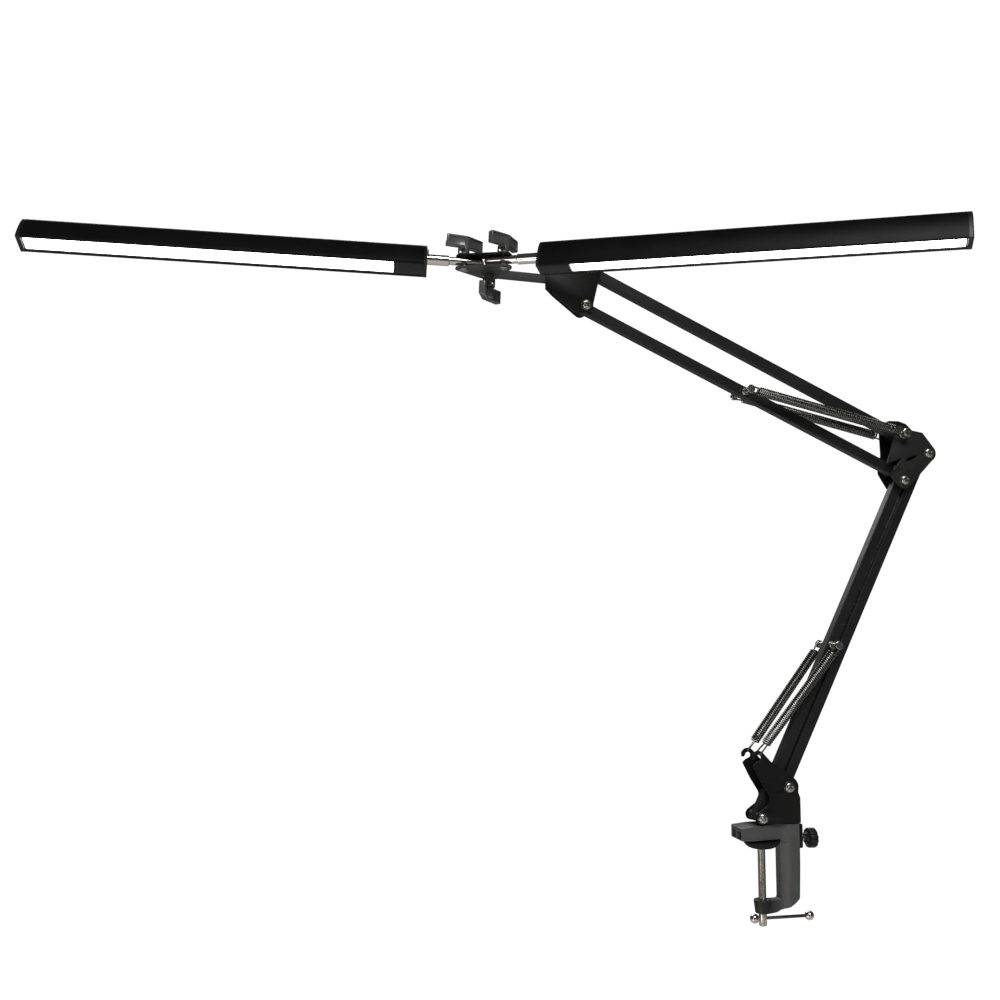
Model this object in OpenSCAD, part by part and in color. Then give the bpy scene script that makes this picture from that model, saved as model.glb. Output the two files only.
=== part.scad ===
// Architect desk lamp: desk clamp, swivelling base bracket, two sprung parallelogram arms
// and two long bar lamps on a twin bracket. Millimetres, Z up.
// The origin is on the underside of the clamp's upper jaw, on the axis of the clamp screw.
// The arms move in the XZ plane. Points of that plane are written [x, z].

/* [Clamp] */
// Width of the clamp's upper jaw
clamp_w = 25; // [20:1:30]
// Gap between the two jaws
throat = 56.5; // [45:0.5:60]
// Radius of the clamp screw
screw_r = 3.75; // [3:0.25:4]
// Radius of the pressure pad
pad_r = 16.2; // [12:0.1:16.2]

/* [Arms] */
// Distance between the end pivots of the lower arm
lower_len = 360; // [300:5:420]
// Distance between the end pivots of the upper arm
upper_len = 353.5; // [300:0.5:400]
// Rest angle of the lower arm above horizontal
lower_angle = 63.7; // [62:0.1:90]
// Rest angle of the upper arm above horizontal
upper_angle = 25; // [0:1:40]
// Side of the square arm tubes
bar = 10; // [9:0.5:10]
// Wall of the arm tubes
bar_wall = 1.2; // [0.8:0.1:2]
// Radius of the spacer sleeve on each pivot bolt
sleeve_r = 3.5; // [3.2:0.1:3.7]

/* [Head] */
// Small tilt of the head about Y, left side up
head_tilt = 2.2; // [-5:0.1:5]
// Turn of the twin bracket about the lower knob
twin_turn = -25.5; // [-40:0.5:0]
// Forward swing of the left lamp from the twin bracket's line
left_swing = 19; // [0:1:30]
// Forward swing of the right lamp from the twin bracket's line
right_swing = 4; // [0:1:30]
// Roll of the left lamp towards the front
left_roll = 25; // [0:1:45]
// Roll of the right lamp towards the front
right_roll = 10; // [0:1:45]

/* [Lamps] */
// Distance from a lamp's swing axis to its outer end
lamp_reach = 399.7; // [300:0.1:450]
// Width of the lamp's flat face
lamp_w = 21; // [18:0.5:26]
// Height of the lamp's arched body
lamp_h = 28.5; // [24:0.5:34]
// Width of the lit slot
slot_w = 15; // [12:0.5:16]

/* [Hidden] */
$fn = 48;

// fits
fit = 0.1;            // radial clearance of a running fit
face_gap = 0.2;       // gap between flat faces of bodies that turn on each other
eps = 0.01;

// clamp
jaw_top = 14;         // height of the clamp's flat top around the socket
jaw_tip = -25.2;      // the upper jaw's free end
jaw_tip_top = 11.5;
spine_in = 16.7;      // inner face of the spine
spine_out = 35;       // outer face of the spine at the top
spine_foot = 31;      // outer face of the spine at the bottom
lower_jaw_r = 8.2;     // radius of the lower jaw's nose around the screw
lower_jaw_t = 12;
socket_x = 24;        // axis of the base swivel
socket_r = 6.5;
socket_bottom = -26;
spigot_r = 5;
bush_flange_r = 8.6;
bush_flange_t = 1;
lock_z = -1.8;        // axis of the side lock knob
lock_screw_r = 2.5;
pad_top = -2.4;
pad_t = 6.2;
screw_bottom = -80.5;
tommy_z = -73.5;
tommy_r = 1.5;
tommy_left = -8.3;
tommy_right = 47.3;
ball_r = 4.4;
half_waist = 5;       // half thickness of the casting at the spine's inner face
half_spine = 11.5;    // half thickness of the spine

// pivots in the XZ plane
dir_lower = [cos(lower_angle), sin(lower_angle)];
dir_upper = [-cos(upper_angle), sin(upper_angle)];
base_front = [-3.5, 20.5];
base_rear = [23.9, 48.3];
elbow_low = base_front + lower_len * dir_lower;
elbow_right = base_rear + lower_len * dir_lower;
elbow_top = elbow_low + [-0.6, 46.5];
elbow_left = elbow_low + [-6.7, 10.2];
head_low = elbow_left + upper_len * dir_upper;
head_top = elbow_top + upper_len * dir_upper;
lower_pin = base_front + 179 * dir_lower;
upper_pin = elbow_left + 174.6 * dir_upper;
hook_hole = [-6.5, 76];

// plates and pivot hardware, by distance from the middle plane
cheek_in = 11;
cheek_t = 1.5;
cheek_out = cheek_in + cheek_t;
bolt_r = 2.5;
washer_t = 0.8;
washer_r = 5.5;
head_r = 5;
head_t = 3;
nut_t = 4;
pin_reach = 21;       // half length of the spring pins
spring_y = 18.3;      // where the springs lie
spring_coil_r = 4.3;
wire_r = 0.6;

// head
twin_pivot = [-262.8, 529.1];   // lower knob's axis at the twin bracket's underside
twin_x = 19;                    // half spacing of the two thumb screws
twin_y = 21.4;                  // how far they are in front of the lower knob
tab_half = 12.2;
plate_t = 1.5;
rod_z = 7.3;                    // height of the lamp rods above the bracket's underside
rod_r = 5;
barrel_r = 3.9;
barrel_in = -18.7;
barrel_out = 14;
thumb_r = 2;
knob_bar = 20.2;      // length of a thumb knob's wing
collar_h = 3.4;       // collar under the lower thumb knob

// lamps, along X from the swing axis and about the rod's axis
lamp_start = 34.2;
cap_in_t = 3;
cap_out_t = 4;
lit_start = 65;
face_z = -13;                   // the flat face, below the rod's axis
skin = 1.5;

function tangent(p, q, rp, rq) = acos((rp - rq) / norm(q - p));
function heading(p, q) = atan2(q[1] - p[1], q[0] - p[0]);
function polar(r, a) = [r * cos(a), r * sin(a)];

// points on a round of radius r at c, from the angle a0 to a1
function arc(c, r, a0, a1) = let (n = ceil(abs(a1 - a0) / 15))
    [for (i = [0:n]) c + polar(r, a0 + (a1 - a0) * i / n)];

// the outline around two discs
module link_2d(p, q, rp, rq) {
    a = heading(p, q);
    b = tangent(p, q, rp, rq);
    translate(p) circle(r = rp);
    translate(q) circle(r = rq);
    polygon([p + polar(rp, a + b), p + polar(rp, a - b), q + polar(rq, a - b), q + polar(rq, a + b)]);
}

// a plate in the XZ plane, from y0 to y0 + t
module plate_xz(y0, t) {
    translate([0, y0 + t, 0]) rotate([90, 0, 0]) linear_extrude(t) children();
}

// a round along Y at the point p, from y0 to y1
module round_y(p, r, y0, y1) {
    translate([p[0], y1, p[1]]) rotate([90, 0, 0]) cylinder(r = r, h = y1 - y0);
}

module both_sides() {
    children();
    mirror([0, 1, 0]) children();
}

// ---------- pivot hardware ----------

module sleeve(p) {
    difference() {
        round_y(p, sleeve_r, -cheek_in, cheek_in);
        round_y(p, bolt_r + fit, -cheek_in - 1, cheek_in + 1);
    }
}

// a pan head with a cross recess, its seat at z = 0
module pan_head(r, t) {
    difference() {
        rotate_extrude() polygon([[0, 0], [r, 0], [r, t * 0.35], [r * 0.86, t * 0.75], [r * 0.55, t], [0, t]]);
        for (a = [0, 90]) rotate([0, 0, a]) translate([-r * 0.5, -0.55, t * 0.45]) cube([r, 1.1, t]);
    }
}

// a bolt along Y with its head in front and its washers
module bolt(p, seat) {
    round_y(p, bolt_r, -seat - washer_t - 0.5, seat + washer_t + nut_t + 1);
    translate([p[0], -seat - washer_t, p[1]]) rotate([90, 0, 0]) pan_head(head_r, head_t);
    round_y(p, washer_r, -seat - washer_t, -seat);
}

module nut(p, seat) {
    difference() {
        union() {
            round_y(p, washer_r, seat, seat + washer_t);
            translate([p[0], seat + washer_t + nut_t, p[1]]) rotate([90, 0, 0]) cylinder(r = 4.6, h = nut_t, $fn = 6);
        }
        round_y(p, bolt_r + fit, seat - 1, seat + 9);
    }
}

module spacers(p) {
    both_sides() difference() {
        round_y(p, bar / 2 - 0.2, bar / 2 + face_gap, cheek_in);
        round_y(p, sleeve_r + fit, bar / 2 - 1, cheek_in + 1);
    }
}

// ---------- arm tubes ----------

// a square tube with rounded ends, bored for the sleeves at both pivots
module arm_tube(p, q) {
    a = heading(p, q);
    len = norm(q - p);
    difference() {
        plate_xz(-bar / 2, bar) link_2d(p, q, bar / 2, bar / 2);
        translate([p[0], 0, p[1]]) rotate([0, -a, 0])
            translate([-bar, bar_wall - bar / 2, bar_wall - bar / 2])
                cube([len + 2 * bar, bar - 2 * bar_wall, bar - 2 * bar_wall]);
        for (c = [p, q]) round_y(c, sleeve_r + fit, -bar, bar);
    }
}

// a spring pin: rod with a groove near each end and a collar against the tube
module spring_pin(p) {
    difference() {
        union() {
            round_y(p, bolt_r, -pin_reach, pin_reach);
            both_sides() round_y(p, 4, bar / 2, bar / 2 + 4);
            both_sides() round_y(p, 4, pin_reach - 1.5, pin_reach);
        }
        both_sides() difference() {
            round_y(p, bolt_r + 1, spring_y - 0.8, spring_y + 0.8);
            round_y(p, bolt_r - 0.5, spring_y - 1, spring_y + 1);
        }
    }
}

// a tension spring from point p to q with hooked ends, coil between two distances from p
module tension_spring(p, q, yp, yq, coil_from, coil_to) {
    a = heading(p, q);
    len = norm(q - p);
    turn = atan2(yq - yp, len);
    full = norm([len, yq - yp]);
    translate([p[0], yp, p[1]]) rotate([0, -a, 0]) rotate([0, 0, turn]) {
        translate([coil_from, 0, 0]) rotate([0, 90, 0]) difference() {
            cylinder(r = spring_coil_r, h = coil_to - coil_from);
            translate([0, 0, -1]) cylinder(r = spring_coil_r - 2 * wire_r, h = coil_to - coil_from + 2);
        }
        for (s = [[4.4, coil_from + 1], [coil_to - 1, full - 4.4]])
            translate([s[0], 0, 0]) rotate([0, 90, 0]) cylinder(r = wire_r, h = s[1] - s[0]);
        for (x = [coil_from, coil_to - 2 * wire_r]) translate([x, 0, 0]) rotate([0, 90, 0])
            cylinder(r = spring_coil_r - wire_r, h = 2 * wire_r);
        for (x = [0, full]) translate([x, 0, 0]) rotate([90, 0, 0])
            rotate_extrude() translate([3.9, 0]) circle(r = wire_r, $fn = 16);
    }
}

// ---------- clamp ----------

// the casting's side view
module clamp_side_2d() {
    foot = -throat - lower_jaw_t;
    polygon([[jaw_tip, 1], [jaw_tip + 1, 0], [spine_in, 0], [spine_in, -throat],
        [-lower_jaw_r, -throat], [-lower_jaw_r, foot], [5, foot], [14, foot + 1.2], [22, foot + 4.6],
        [28, foot + 9.6], [spine_foot, foot + 15], [spine_out, jaw_top - 6], [spine_out, jaw_top],
        [10, jaw_top], [-10, jaw_top - 0.9], [jaw_tip, jaw_tip_top]]);
}

// the casting's plan, waisted where the jaws meet the spine
module clamp_plan_2d(nose) polygon(concat(nose, [[spine_in, half_waist], [23.5, half_spine],
    [33, half_spine], [35.5, 9], [35.5, -9], [33, -half_spine], [23.5, -half_spine], [spine_in, -half_waist]]));

module clamp_frame() color([0.3, 0.3, 0.31]) {
    foot = -throat - lower_jaw_t;
    w = clamp_w / 2;
    difference() {
        intersection() {
            plate_xz(-w, 2 * w) clamp_side_2d();
            union() {
                translate([0, 0, -1]) linear_extrude(30) clamp_plan_2d([[8, -8.6], [-8, -w], [jaw_tip + 1.5, -w],
                    [jaw_tip - 1, -w + 2.5], [jaw_tip - 1, w - 2.5], [jaw_tip + 1.5, w], [-8, w], [8, 8.6]]);
                translate([0, 0, foot - 1]) linear_extrude(-foot + 0.5)
                    clamp_plan_2d(concat([[2, -lower_jaw_r + 0.4]], arc([0, 0], lower_jaw_r, -90, -270),
                    [[2, lower_jaw_r - 0.4]]));
            }
        }
        // socket for the bush, screw thread and lock screw thread
        translate([socket_x, 0, socket_bottom]) cylinder(r = socket_r, h = 60);
        translate([0, 0, foot - 1]) cylinder(r = screw_r + fit, h = lower_jaw_t + 2);
        translate([socket_x, 0, lock_z]) rotate([0, 90, 0]) cylinder(r = lock_screw_r + fit, h = 30);
        // two grip pockets in the jaw's free end
        for (y = [-11.2, 0.8]) translate([jaw_tip - 1, y, 1]) cube([5.4, 8.2, 7.6]);
    }
    difference() {
        translate([spine_out - 3, -7, -10]) cube([8, 14, 23]);
        translate([spine_out - 4, 0, lock_z]) rotate([0, 90, 0]) cylinder(r = lock_screw_r + fit, h = 12);
    }
}

module socket_bush() color([0.1, 0.1, 0.1]) {
    difference() {
        union() {
            translate([socket_x, 0, socket_bottom]) cylinder(r = socket_r, h = jaw_top - socket_bottom);
            translate([socket_x, 0, jaw_top]) cylinder(r = bush_flange_r, h = bush_flange_t);
        }
        translate([socket_x, 0, socket_bottom + 2]) cylinder(r = spigot_r + fit, h = 60);
        translate([socket_x, 0, lock_z]) rotate([0, 90, 0]) cylinder(r = lock_screw_r + fit, h = 30);
    }
}

module pressure_pad() color([0.08, 0.08, 0.08]) {
    difference() {
        translate([0, 0, pad_top - pad_t]) rotate_extrude($fn = 96)
            polygon([[0, 0], [pad_r - 5, 0], [pad_r - 1.5, 2], [pad_r, 4.5], [pad_r, pad_t - 0.6],
                [pad_r - 0.6, pad_t], [0, pad_t]]);
        translate([0, 0, pad_top - pad_t - 1]) cylinder(r = screw_r + 0.3, h = 5);
    }
}

module clamp_screw() color([0.75, 0.74, 0.7]) {
    top = pad_top - pad_t + 3.6;
    difference() {
        translate([0, 0, screw_bottom]) rotate_extrude()
            polygon([[0, 0], [screw_r - 1, 0], [screw_r, 1], [screw_r, top - screw_bottom - 1],
                [screw_r - 1, top - screw_bottom], [0, top - screw_bottom]]);
        translate([-9, 0, tommy_z]) rotate([0, 90, 0]) cylinder(r = tommy_r + fit, h = 18);
    }
}

module tommy_bar() color([0.72, 0.71, 0.68])
    translate([tommy_left + ball_r - 1, 0, tommy_z]) rotate([0, 90, 0])
        cylinder(r = tommy_r, h = tommy_right - tommy_left - 2 * ball_r + 2);

module tommy_bar_balls() color([0.78, 0.77, 0.74])
    for (e = [[tommy_left, 1], [tommy_right, -1]]) translate([e[0], 0, tommy_z]) difference() {
        sphere(r = ball_r);
        rotate([0, 90 * e[1], 0]) translate([0, 0, ball_r - 1]) cylinder(r = tommy_r, h = 4);
        rotate([0, 90 * e[1], 0]) translate([0, 0, ball_r - 0.4]) cylinder(r = ball_r, h = 4);
    }

module lock_knob() color([0.06, 0.06, 0.06]) {
    x = spine_out + 9.4;
    difference() {
        translate([x, 0, lock_z]) rotate([0, 90, 0]) {
            cylinder(r1 = 4.5, r2 = 6.5, h = 2.8);
            translate([0, 0, 2.8]) difference() {
                cylinder(r = 9.3, h = 7.6);
                for (i = [0:11]) rotate([0, 0, i * 30]) translate([9.9, 0, -1]) cylinder(r = 1.5, h = 13);
            }
        }
        translate([x - 1, 0, lock_z]) rotate([0, 90, 0]) cylinder(r = lock_screw_r, h = 6.6);
    }
}

module lock_screw() color([0.75, 0.74, 0.72])
    translate([socket_x + spigot_r + 0.3, 0, lock_z]) rotate([0, 90, 0])
        cylinder(r = lock_screw_r, h = spine_out + 15 - socket_x - spigot_r - 0.3);

// ---------- base bracket ----------

module base_cheek_2d() difference() {
    polygon(concat([[5, 15.2], [34.8, 15.2], [34.8, 38], [32.4, 45]], arc(base_rear, 9.4, 10, 60),
        [[5.5, 72.5]], arc(hook_hole, 6.5, 40, 190), [[-11, 68.6], [-9.5, 66], [4.2, 40], [3.6, 35], [1.5, 31]],
        arc(base_front, 6, 115, 230)));
    for (c = [base_front, base_rear]) translate(c) circle(r = bolt_r + fit);
    // the open eye that a spring hooks into
    translate(hook_hole) circle(r = 3.4);
    translate(hook_hole) rotate(205) translate([0, -1.6]) square([9, 3.2]);
}

module base_bracket() color([0.1, 0.1, 0.1]) {
    difference() {
        union() {
            both_sides() plate_xz(cheek_in, cheek_t) base_cheek_2d();
            translate([33.3, -cheek_out, 15.2]) cube([cheek_t, 2 * cheek_out, 24.8]);
            translate([9, -cheek_out, 15.2]) cube([25.8, 2 * cheek_out, cheek_t]);
        }
        translate([socket_x, 0, 10]) cylinder(r = 4, h = 20);
    }
}

module base_spigot() color([0.7, 0.69, 0.66]) translate([socket_x, 0, 0]) {
    translate([0, 0, -23]) rotate_extrude()
        polygon([[0, 0], [spigot_r - 1, 0], [spigot_r, 1], [spigot_r, 38.2], [4, 38.2], [4, 39.7],
            [6.5, 39.7], [6.5, 40.6], [4, 42], [0, 42]]);
}

module base_sleeves() color([0.7, 0.7, 0.68]) for (p = [base_front, base_rear]) sleeve(p);

module base_bolts() color([0.8, 0.79, 0.76]) for (p = [base_front, base_rear]) bolt(p, cheek_out);

module base_nuts() color([0.8, 0.79, 0.76]) for (p = [base_front, base_rear]) nut(p, cheek_out);

module base_spacers() color([0.15, 0.15, 0.15]) for (p = [base_front, base_rear]) spacers(p);

// ---------- lower arm ----------

module lower_front_bar() color([0.12, 0.12, 0.12]) difference() {
    arm_tube(base_front, elbow_low);
    round_y(lower_pin, bolt_r, -bar, bar);
}

module lower_rear_bar() color([0.12, 0.12, 0.12]) arm_tube(base_rear, elbow_right);

module lower_spring_pin() color([0.8, 0.79, 0.76]) spring_pin(lower_pin);

hook_point = hook_hole + [-0.8, 4.8];
module lower_spring(side) color([0.65, 0.64, 0.62])
    tension_spring(hook_point, lower_pin, side * 13.4, side * spring_y, 14, 112);

module lower_spring_near() lower_spring(-1);

module lower_spring_far() lower_spring(1);

// ---------- elbow ----------

module elbow_holes_2d()
    for (c = [elbow_low, elbow_right, elbow_top, elbow_left]) translate(c) circle(r = bolt_r + fit);

module elbow_near_2d() difference() {
    polygon(concat(arc(elbow_top, 8, 160, 80), [elbow_top + [10, 3.9], elbow_top + [22.5, 1.8]],
        [elbow_top + [25.5, -2]], arc(elbow_right, 8.5, 35, -60), arc(elbow_low, 8.5, -35, -130),
        [elbow_low + [-13, 3], elbow_low + [-17.7, 15], elbow_low + [-14, 28.5]]));
    elbow_holes_2d();
    // the stamped step between the plate's two levels, left as a narrow slot
    polygon([elbow_low + [3, 18.6], elbow_low + [4.5, 21], elbow_low + [15, 25.2], elbow_low + [20, 25],
        elbow_low + [14, 22.2]]);
}

module elbow_far_2d() difference() {
    polygon(concat(arc(elbow_top, 12, 160, 140), [elbow_top + [-6, 14.5], elbow_top + [0, 17]],
        [elbow_top + [11, 17], elbow_top + [19, 14.5], elbow_top + [26, 8]],
        arc(elbow_right, 8.5, 35, -60), arc(elbow_low, 8.5, -35, -130), arc(elbow_left, 8, 200, 140),
        [elbow_low + [-11, 28]]));
    elbow_holes_2d();
}

module elbow_plate_near() color([0.13, 0.13, 0.13]) {
    plate_xz(-cheek_out, cheek_t) elbow_near_2d();
    // the pressed ring above the lower bolt
    difference() {
        round_y(elbow_low + [1.2, 12.7], 4.4, -cheek_out - 0.5, -cheek_out + eps);
        round_y(elbow_low + [1.2, 12.7], 3.2, -cheek_out - 1, -cheek_out + 1);
    }
}

module elbow_plate_far() color([0.13, 0.13, 0.13]) plate_xz(cheek_in, cheek_t) elbow_far_2d();

module elbow_sleeves() color([0.7, 0.7, 0.68])
    for (p = [elbow_low, elbow_right, elbow_top, elbow_left]) sleeve(p);

module elbow_bolts() color([0.8, 0.79, 0.76]) {
    for (p = [elbow_low, elbow_right]) bolt(p, cheek_out);
    // the left pivot is a flush rivet, which leaves room for the springs
    round_y(elbow_left, bolt_r, -cheek_out, cheek_out);
}

// the long upper bolt also holds the springs, outside the plates
module elbow_spring_bolt() color([0.8, 0.79, 0.76]) {
    round_y(elbow_top, bolt_r, -pin_reach, pin_reach);
    both_sides() {
        round_y(elbow_top, washer_r - 0.5, cheek_out, cheek_out + 3);
        round_y(elbow_top, 4.4, pin_reach - 1, pin_reach + 1.5);
    }
}

module elbow_nuts() color([0.8, 0.79, 0.76]) for (p = [elbow_low, elbow_right]) nut(p, cheek_out);

module elbow_spacers() color([0.15, 0.15, 0.15])
    for (p = [elbow_low, elbow_right, elbow_top, elbow_left]) spacers(p);

// ---------- upper arm ----------

module upper_lower_bar() color([0.12, 0.12, 0.12]) difference() {
    arm_tube(elbow_left, head_low);
    round_y(upper_pin, bolt_r, -bar, bar);
}

module upper_top_bar() color([0.12, 0.12, 0.12]) arm_tube(elbow_top, head_top);

module upper_spring_pin() color([0.8, 0.79, 0.76]) spring_pin(upper_pin);

module upper_spring(side) color([0.65, 0.64, 0.62])
    tension_spring(elbow_top, upper_pin, side * spring_y, side * spring_y, 14, 158);

module upper_spring_near() upper_spring(-1);

module upper_spring_far() upper_spring(1);

// ---------- head bracket ----------

// the edge of both cheeks from the tab round the top pivot and down to the lower one
head_right = concat([twin_pivot + [43, -0.6], twin_pivot + [43, 4], twin_pivot + [60, 12],
    twin_pivot + [80, 18]], arc(head_top, 9, 120, -20));

module head_cheek_2d(lower) difference() {
    polygon(concat(head_right, lower));
    for (c = [head_low, head_top]) translate(c) circle(r = bolt_r + fit);
}

module head_bracket() color([0.13, 0.13, 0.13]) {
    corner = head_low + [-7.8, -9.4];
    boss = head_low + [-36.6, 14];
    plate_xz(-cheek_out, cheek_t) head_cheek_2d(concat(arc(head_low, 7, 10, -40), [head_low + [1, -7.3], corner,
        head_low + [-33.4, 11.5]], arc(boss, 3.1, 330, 150), [boss + [-2.2, 8]]));
    plate_xz(cheek_in, cheek_t) head_cheek_2d(concat(arc(head_low, 6.4, 10, -130),
        [twin_pivot + [61.5, -10.6], twin_pivot + [57, -7], twin_pivot + [50, -2]]));
    // the lip turned in along the near cheek's lower edge
    translate([corner[0], -cheek_out + 0.2, corner[1]]) rotate([0, -heading(corner, boss), 0])
        translate([3, 0, -cheek_t - 0.2]) cube([norm(boss - corner) - 8, 7, cheek_t]);
    at_twin() difference() {
        translate([0, 0, plate_t]) linear_extrude(plate_t) {
            circle(r = tab_half);
            translate([0, -tab_half]) square([62, 2 * tab_half]);
        }
        translate([0, 0, -1]) cylinder(r = thumb_r + fit, h = 9);
    }
}

module head_sleeves() color([0.7, 0.7, 0.68]) for (p = [head_low, head_top]) sleeve(p);

module head_bolts() color([0.8, 0.79, 0.76]) for (p = [head_low, head_top]) bolt(p, cheek_out);

module head_nuts() color([0.8, 0.79, 0.76]) for (p = [head_low, head_top]) nut(p, cheek_out);

module head_spacers() color([0.15, 0.15, 0.15]) for (p = [head_low, head_top]) spacers(p);

// ---------- twin bracket ----------

// the frame of the tilted head, with its origin on the lower knob's axis at the bracket's underside
module at_twin() translate([twin_pivot[0], 0, twin_pivot[1]]) rotate([0, head_tilt, 0]) children();

left_axis = [-twin_x, -twin_y];
right_axis = [twin_x, -twin_y];
centre_r = 12.5;
corner_r = 8;

module triangle_2d() {
    link_2d([0, 0], left_axis, centre_r, corner_r);
    link_2d([0, 0], right_axis, centre_r, corner_r);
    link_2d(left_axis, right_axis, corner_r, corner_r);
    polygon([[0, 0], left_axis, right_axis]);
}

module twin_lower_plate() color([0.13, 0.13, 0.13])
    at_twin() rotate([0, 0, twin_turn]) difference() {
        linear_extrude(plate_t - fit) triangle_2d();
        for (c = [[0, 0], left_axis, right_axis]) translate([c[0], c[1], -1]) cylinder(r = thumb_r + fit, h = 9);
    }

module twin_top_plate() color([0.1, 0.1, 0.1])
    at_twin() rotate([0, 0, twin_turn]) difference() {
        translate([0, 0, rod_z + barrel_r + face_gap]) linear_extrude(plate_t)
            link_2d(left_axis, right_axis, 7.5, 7.5);
        for (c = [left_axis, right_axis]) translate([c[0], c[1], 0]) cylinder(r = thumb_r + fit, h = 30);
    }

// the nuts pressed into the lower plate, and the lock nut of the lower knob on top of the tab
module twin_nuts() color([0.8, 0.79, 0.76]) at_twin() rotate([0, 0, twin_turn])
    for (c = [left_axis, right_axis]) translate([c[0], c[1], 0]) difference() {
        union() {
            translate([0, 0, -1.2]) cylinder(r = 4.6, h = 1.2);
            translate([0, 0, plate_t - fit]) cylinder(r = 4.2, h = 1.6);
        }
        translate([0, 0, -2]) cylinder(r = thumb_r + fit, h = 9);
    }

// ---------- thumb knobs ----------

// a winged knob along +Z with its foot at z = 0: round stem and two wings that meet at a ridge
module thumb_knob() {
    wing_h = 10.8;
    stem_h = 6.6;
    ridge = 6.3;          // from the axis to the ridge where the wings meet
    sweep = 14.4;         // each wing leans back by this much
    t = 6.4;
    tip = [knob_bar * cos(sweep), knob_bar * sin(sweep) - ridge];
    back = tip + t * [-sin(sweep), cos(sweep)];
    difference() {
        union() {
            cylinder(r = 6, h = stem_h + 2);
            translate([0, 0, stem_h]) linear_extrude(wing_h) polygon([[0, -ridge], tip, back,
                [0, t / cos(sweep) - ridge], [-back[0], back[1]], [-tip[0], tip[1]]]);
            cylinder(r = 5.2, h = stem_h + wing_h - 1);
        }
        // hollow faces of the wings
        translate([0, 0, stem_h]) for (s = [0, 1]) mirror([s, 0, 0]) translate([0, -ridge, 0])
            rotate([0, 0, sweep]) translate([2.4, -1, 1.7]) cube([knob_bar - 4.4, 1.9, wing_h - 3.4]);
        translate([0, 0, -1]) cylinder(r = thumb_r, h = 9);
    }
}

top_of_plates = rod_z + barrel_r + face_gap + plate_t + face_gap;

module at_thumb(c) at_twin() rotate([0, 0, twin_turn]) translate([c[0], c[1], 0]) children();

module left_thumb_knob() color([0.07, 0.07, 0.07])
    at_thumb(left_axis) translate([0, 0, top_of_plates]) rotate([0, 0, 46]) thumb_knob();

module right_thumb_knob() color([0.07, 0.07, 0.07])
    at_thumb(right_axis) translate([0, 0, top_of_plates]) rotate([0, 0, 65]) thumb_knob();

module lower_thumb_knob() color([0.07, 0.07, 0.07])
    at_twin() mirror([0, 0, 1]) translate([0, 0, face_gap]) {
        difference() {
            cylinder(r = 5, h = collar_h + 1);
            translate([0, 0, -1]) cylinder(r = thumb_r, h = collar_h + 3);
        }
        translate([0, 0, collar_h]) rotate([0, 0, -124.5]) thumb_knob();
    }

module top_screw() translate([0, 0, -1]) cylinder(r = thumb_r, h = top_of_plates + 9);

module left_thumb_screw() color([0.8, 0.79, 0.76]) at_thumb(left_axis) top_screw();

module right_thumb_screw() color([0.8, 0.79, 0.76]) at_thumb(right_axis) top_screw();

module lower_thumb_screw() color([0.8, 0.79, 0.76]) at_twin() {
    translate([0, 0, -8 - collar_h - face_gap])
        cylinder(r = thumb_r, h = 2 * plate_t + 8 + collar_h + 2 * face_gap);
    translate([0, 0, 2 * plate_t + face_gap]) cylinder(r = 4, h = 2.6, $fn = 6);
}

// ---------- lamps ----------

// half width of the arched body at the height v above its flat face
function arch(v) = lamp_w / 2 * sqrt(max(0, 1 - pow(v / lamp_h, 2)));

function arch_points(inset) = let (h = lamp_h - inset, w = lamp_w / 2 - inset)
    [for (a = [0:6:180]) [w * cos(a), face_z + h * sin(a)]];

module at_lamp(c, turn) at_thumb(c) translate([0, 0, rod_z]) rotate([0, 0, turn]) children();

module at_left() at_lamp(left_axis, 180 + left_swing) children();

module at_right() at_lamp(right_axis, -right_swing) children();

// a section in the lamp's YZ plane, from x0 to x1
module along_x(x0, x1) translate([x0, 0, 0]) rotate([90, 0, 90]) linear_extrude(x1 - x0) children();

module rod_x(r, x0, x1) translate([x0, 0, 0]) rotate([0, 90, 0]) cylinder(r = r, h = x1 - x0);

module barrel() color([0.8, 0.78, 0.75]) difference() {
    union() {
        rod_x(barrel_r, barrel_in + 3, barrel_out - face_gap);
        intersection() {
            rod_x(barrel_r, barrel_in, barrel_in + 4);
            translate([barrel_in + 4.2, 0, 0]) sphere(r = 4.2 + fit);
        }
        rod_x(rod_r / 2, barrel_out - 1, barrel_out + 16);
        translate([0, 0, plate_t + 1.6 - rod_z + face_gap]) cylinder(r = 4.4, h = 3);
    }
    translate([0, 0, -9]) cylinder(r = thumb_r + fit, h = 18);
}

module rod() color([0.82, 0.8, 0.77]) difference() {
    rod_x(rod_r, barrel_out, lamp_start + 14);
    rod_x(rod_r / 2 + fit, barrel_out - 1, barrel_out + 17);
}

module housing_2d() difference() {
    polygon(arch_points(0));
    difference() {
        polygon(arch_points(skin));
        translate([-lamp_w, face_z - 1]) square([2 * lamp_w, skin + 1]);
    }
    translate([-slot_w / 2, face_z - 1]) square([slot_w, skin + 2]);
}

module housing() color([0.09, 0.09, 0.09]) along_x(lamp_start + cap_in_t, lamp_reach - cap_out_t) housing_2d();

module diffuser() color([0.97, 0.97, 0.95])
    translate([lit_start, -slot_w / 2 - 1.4, face_z + skin])
        cube([lamp_reach - cap_out_t - 1 - lit_start, slot_w + 2.8, 1.6]);

module outer_cap() color([0.08, 0.08, 0.08]) {
    along_x(lamp_reach - cap_out_t, lamp_reach - 1) polygon(arch_points(0));
    along_x(lamp_reach - 1 - eps, lamp_reach) polygon(arch_points(1));
}

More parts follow.
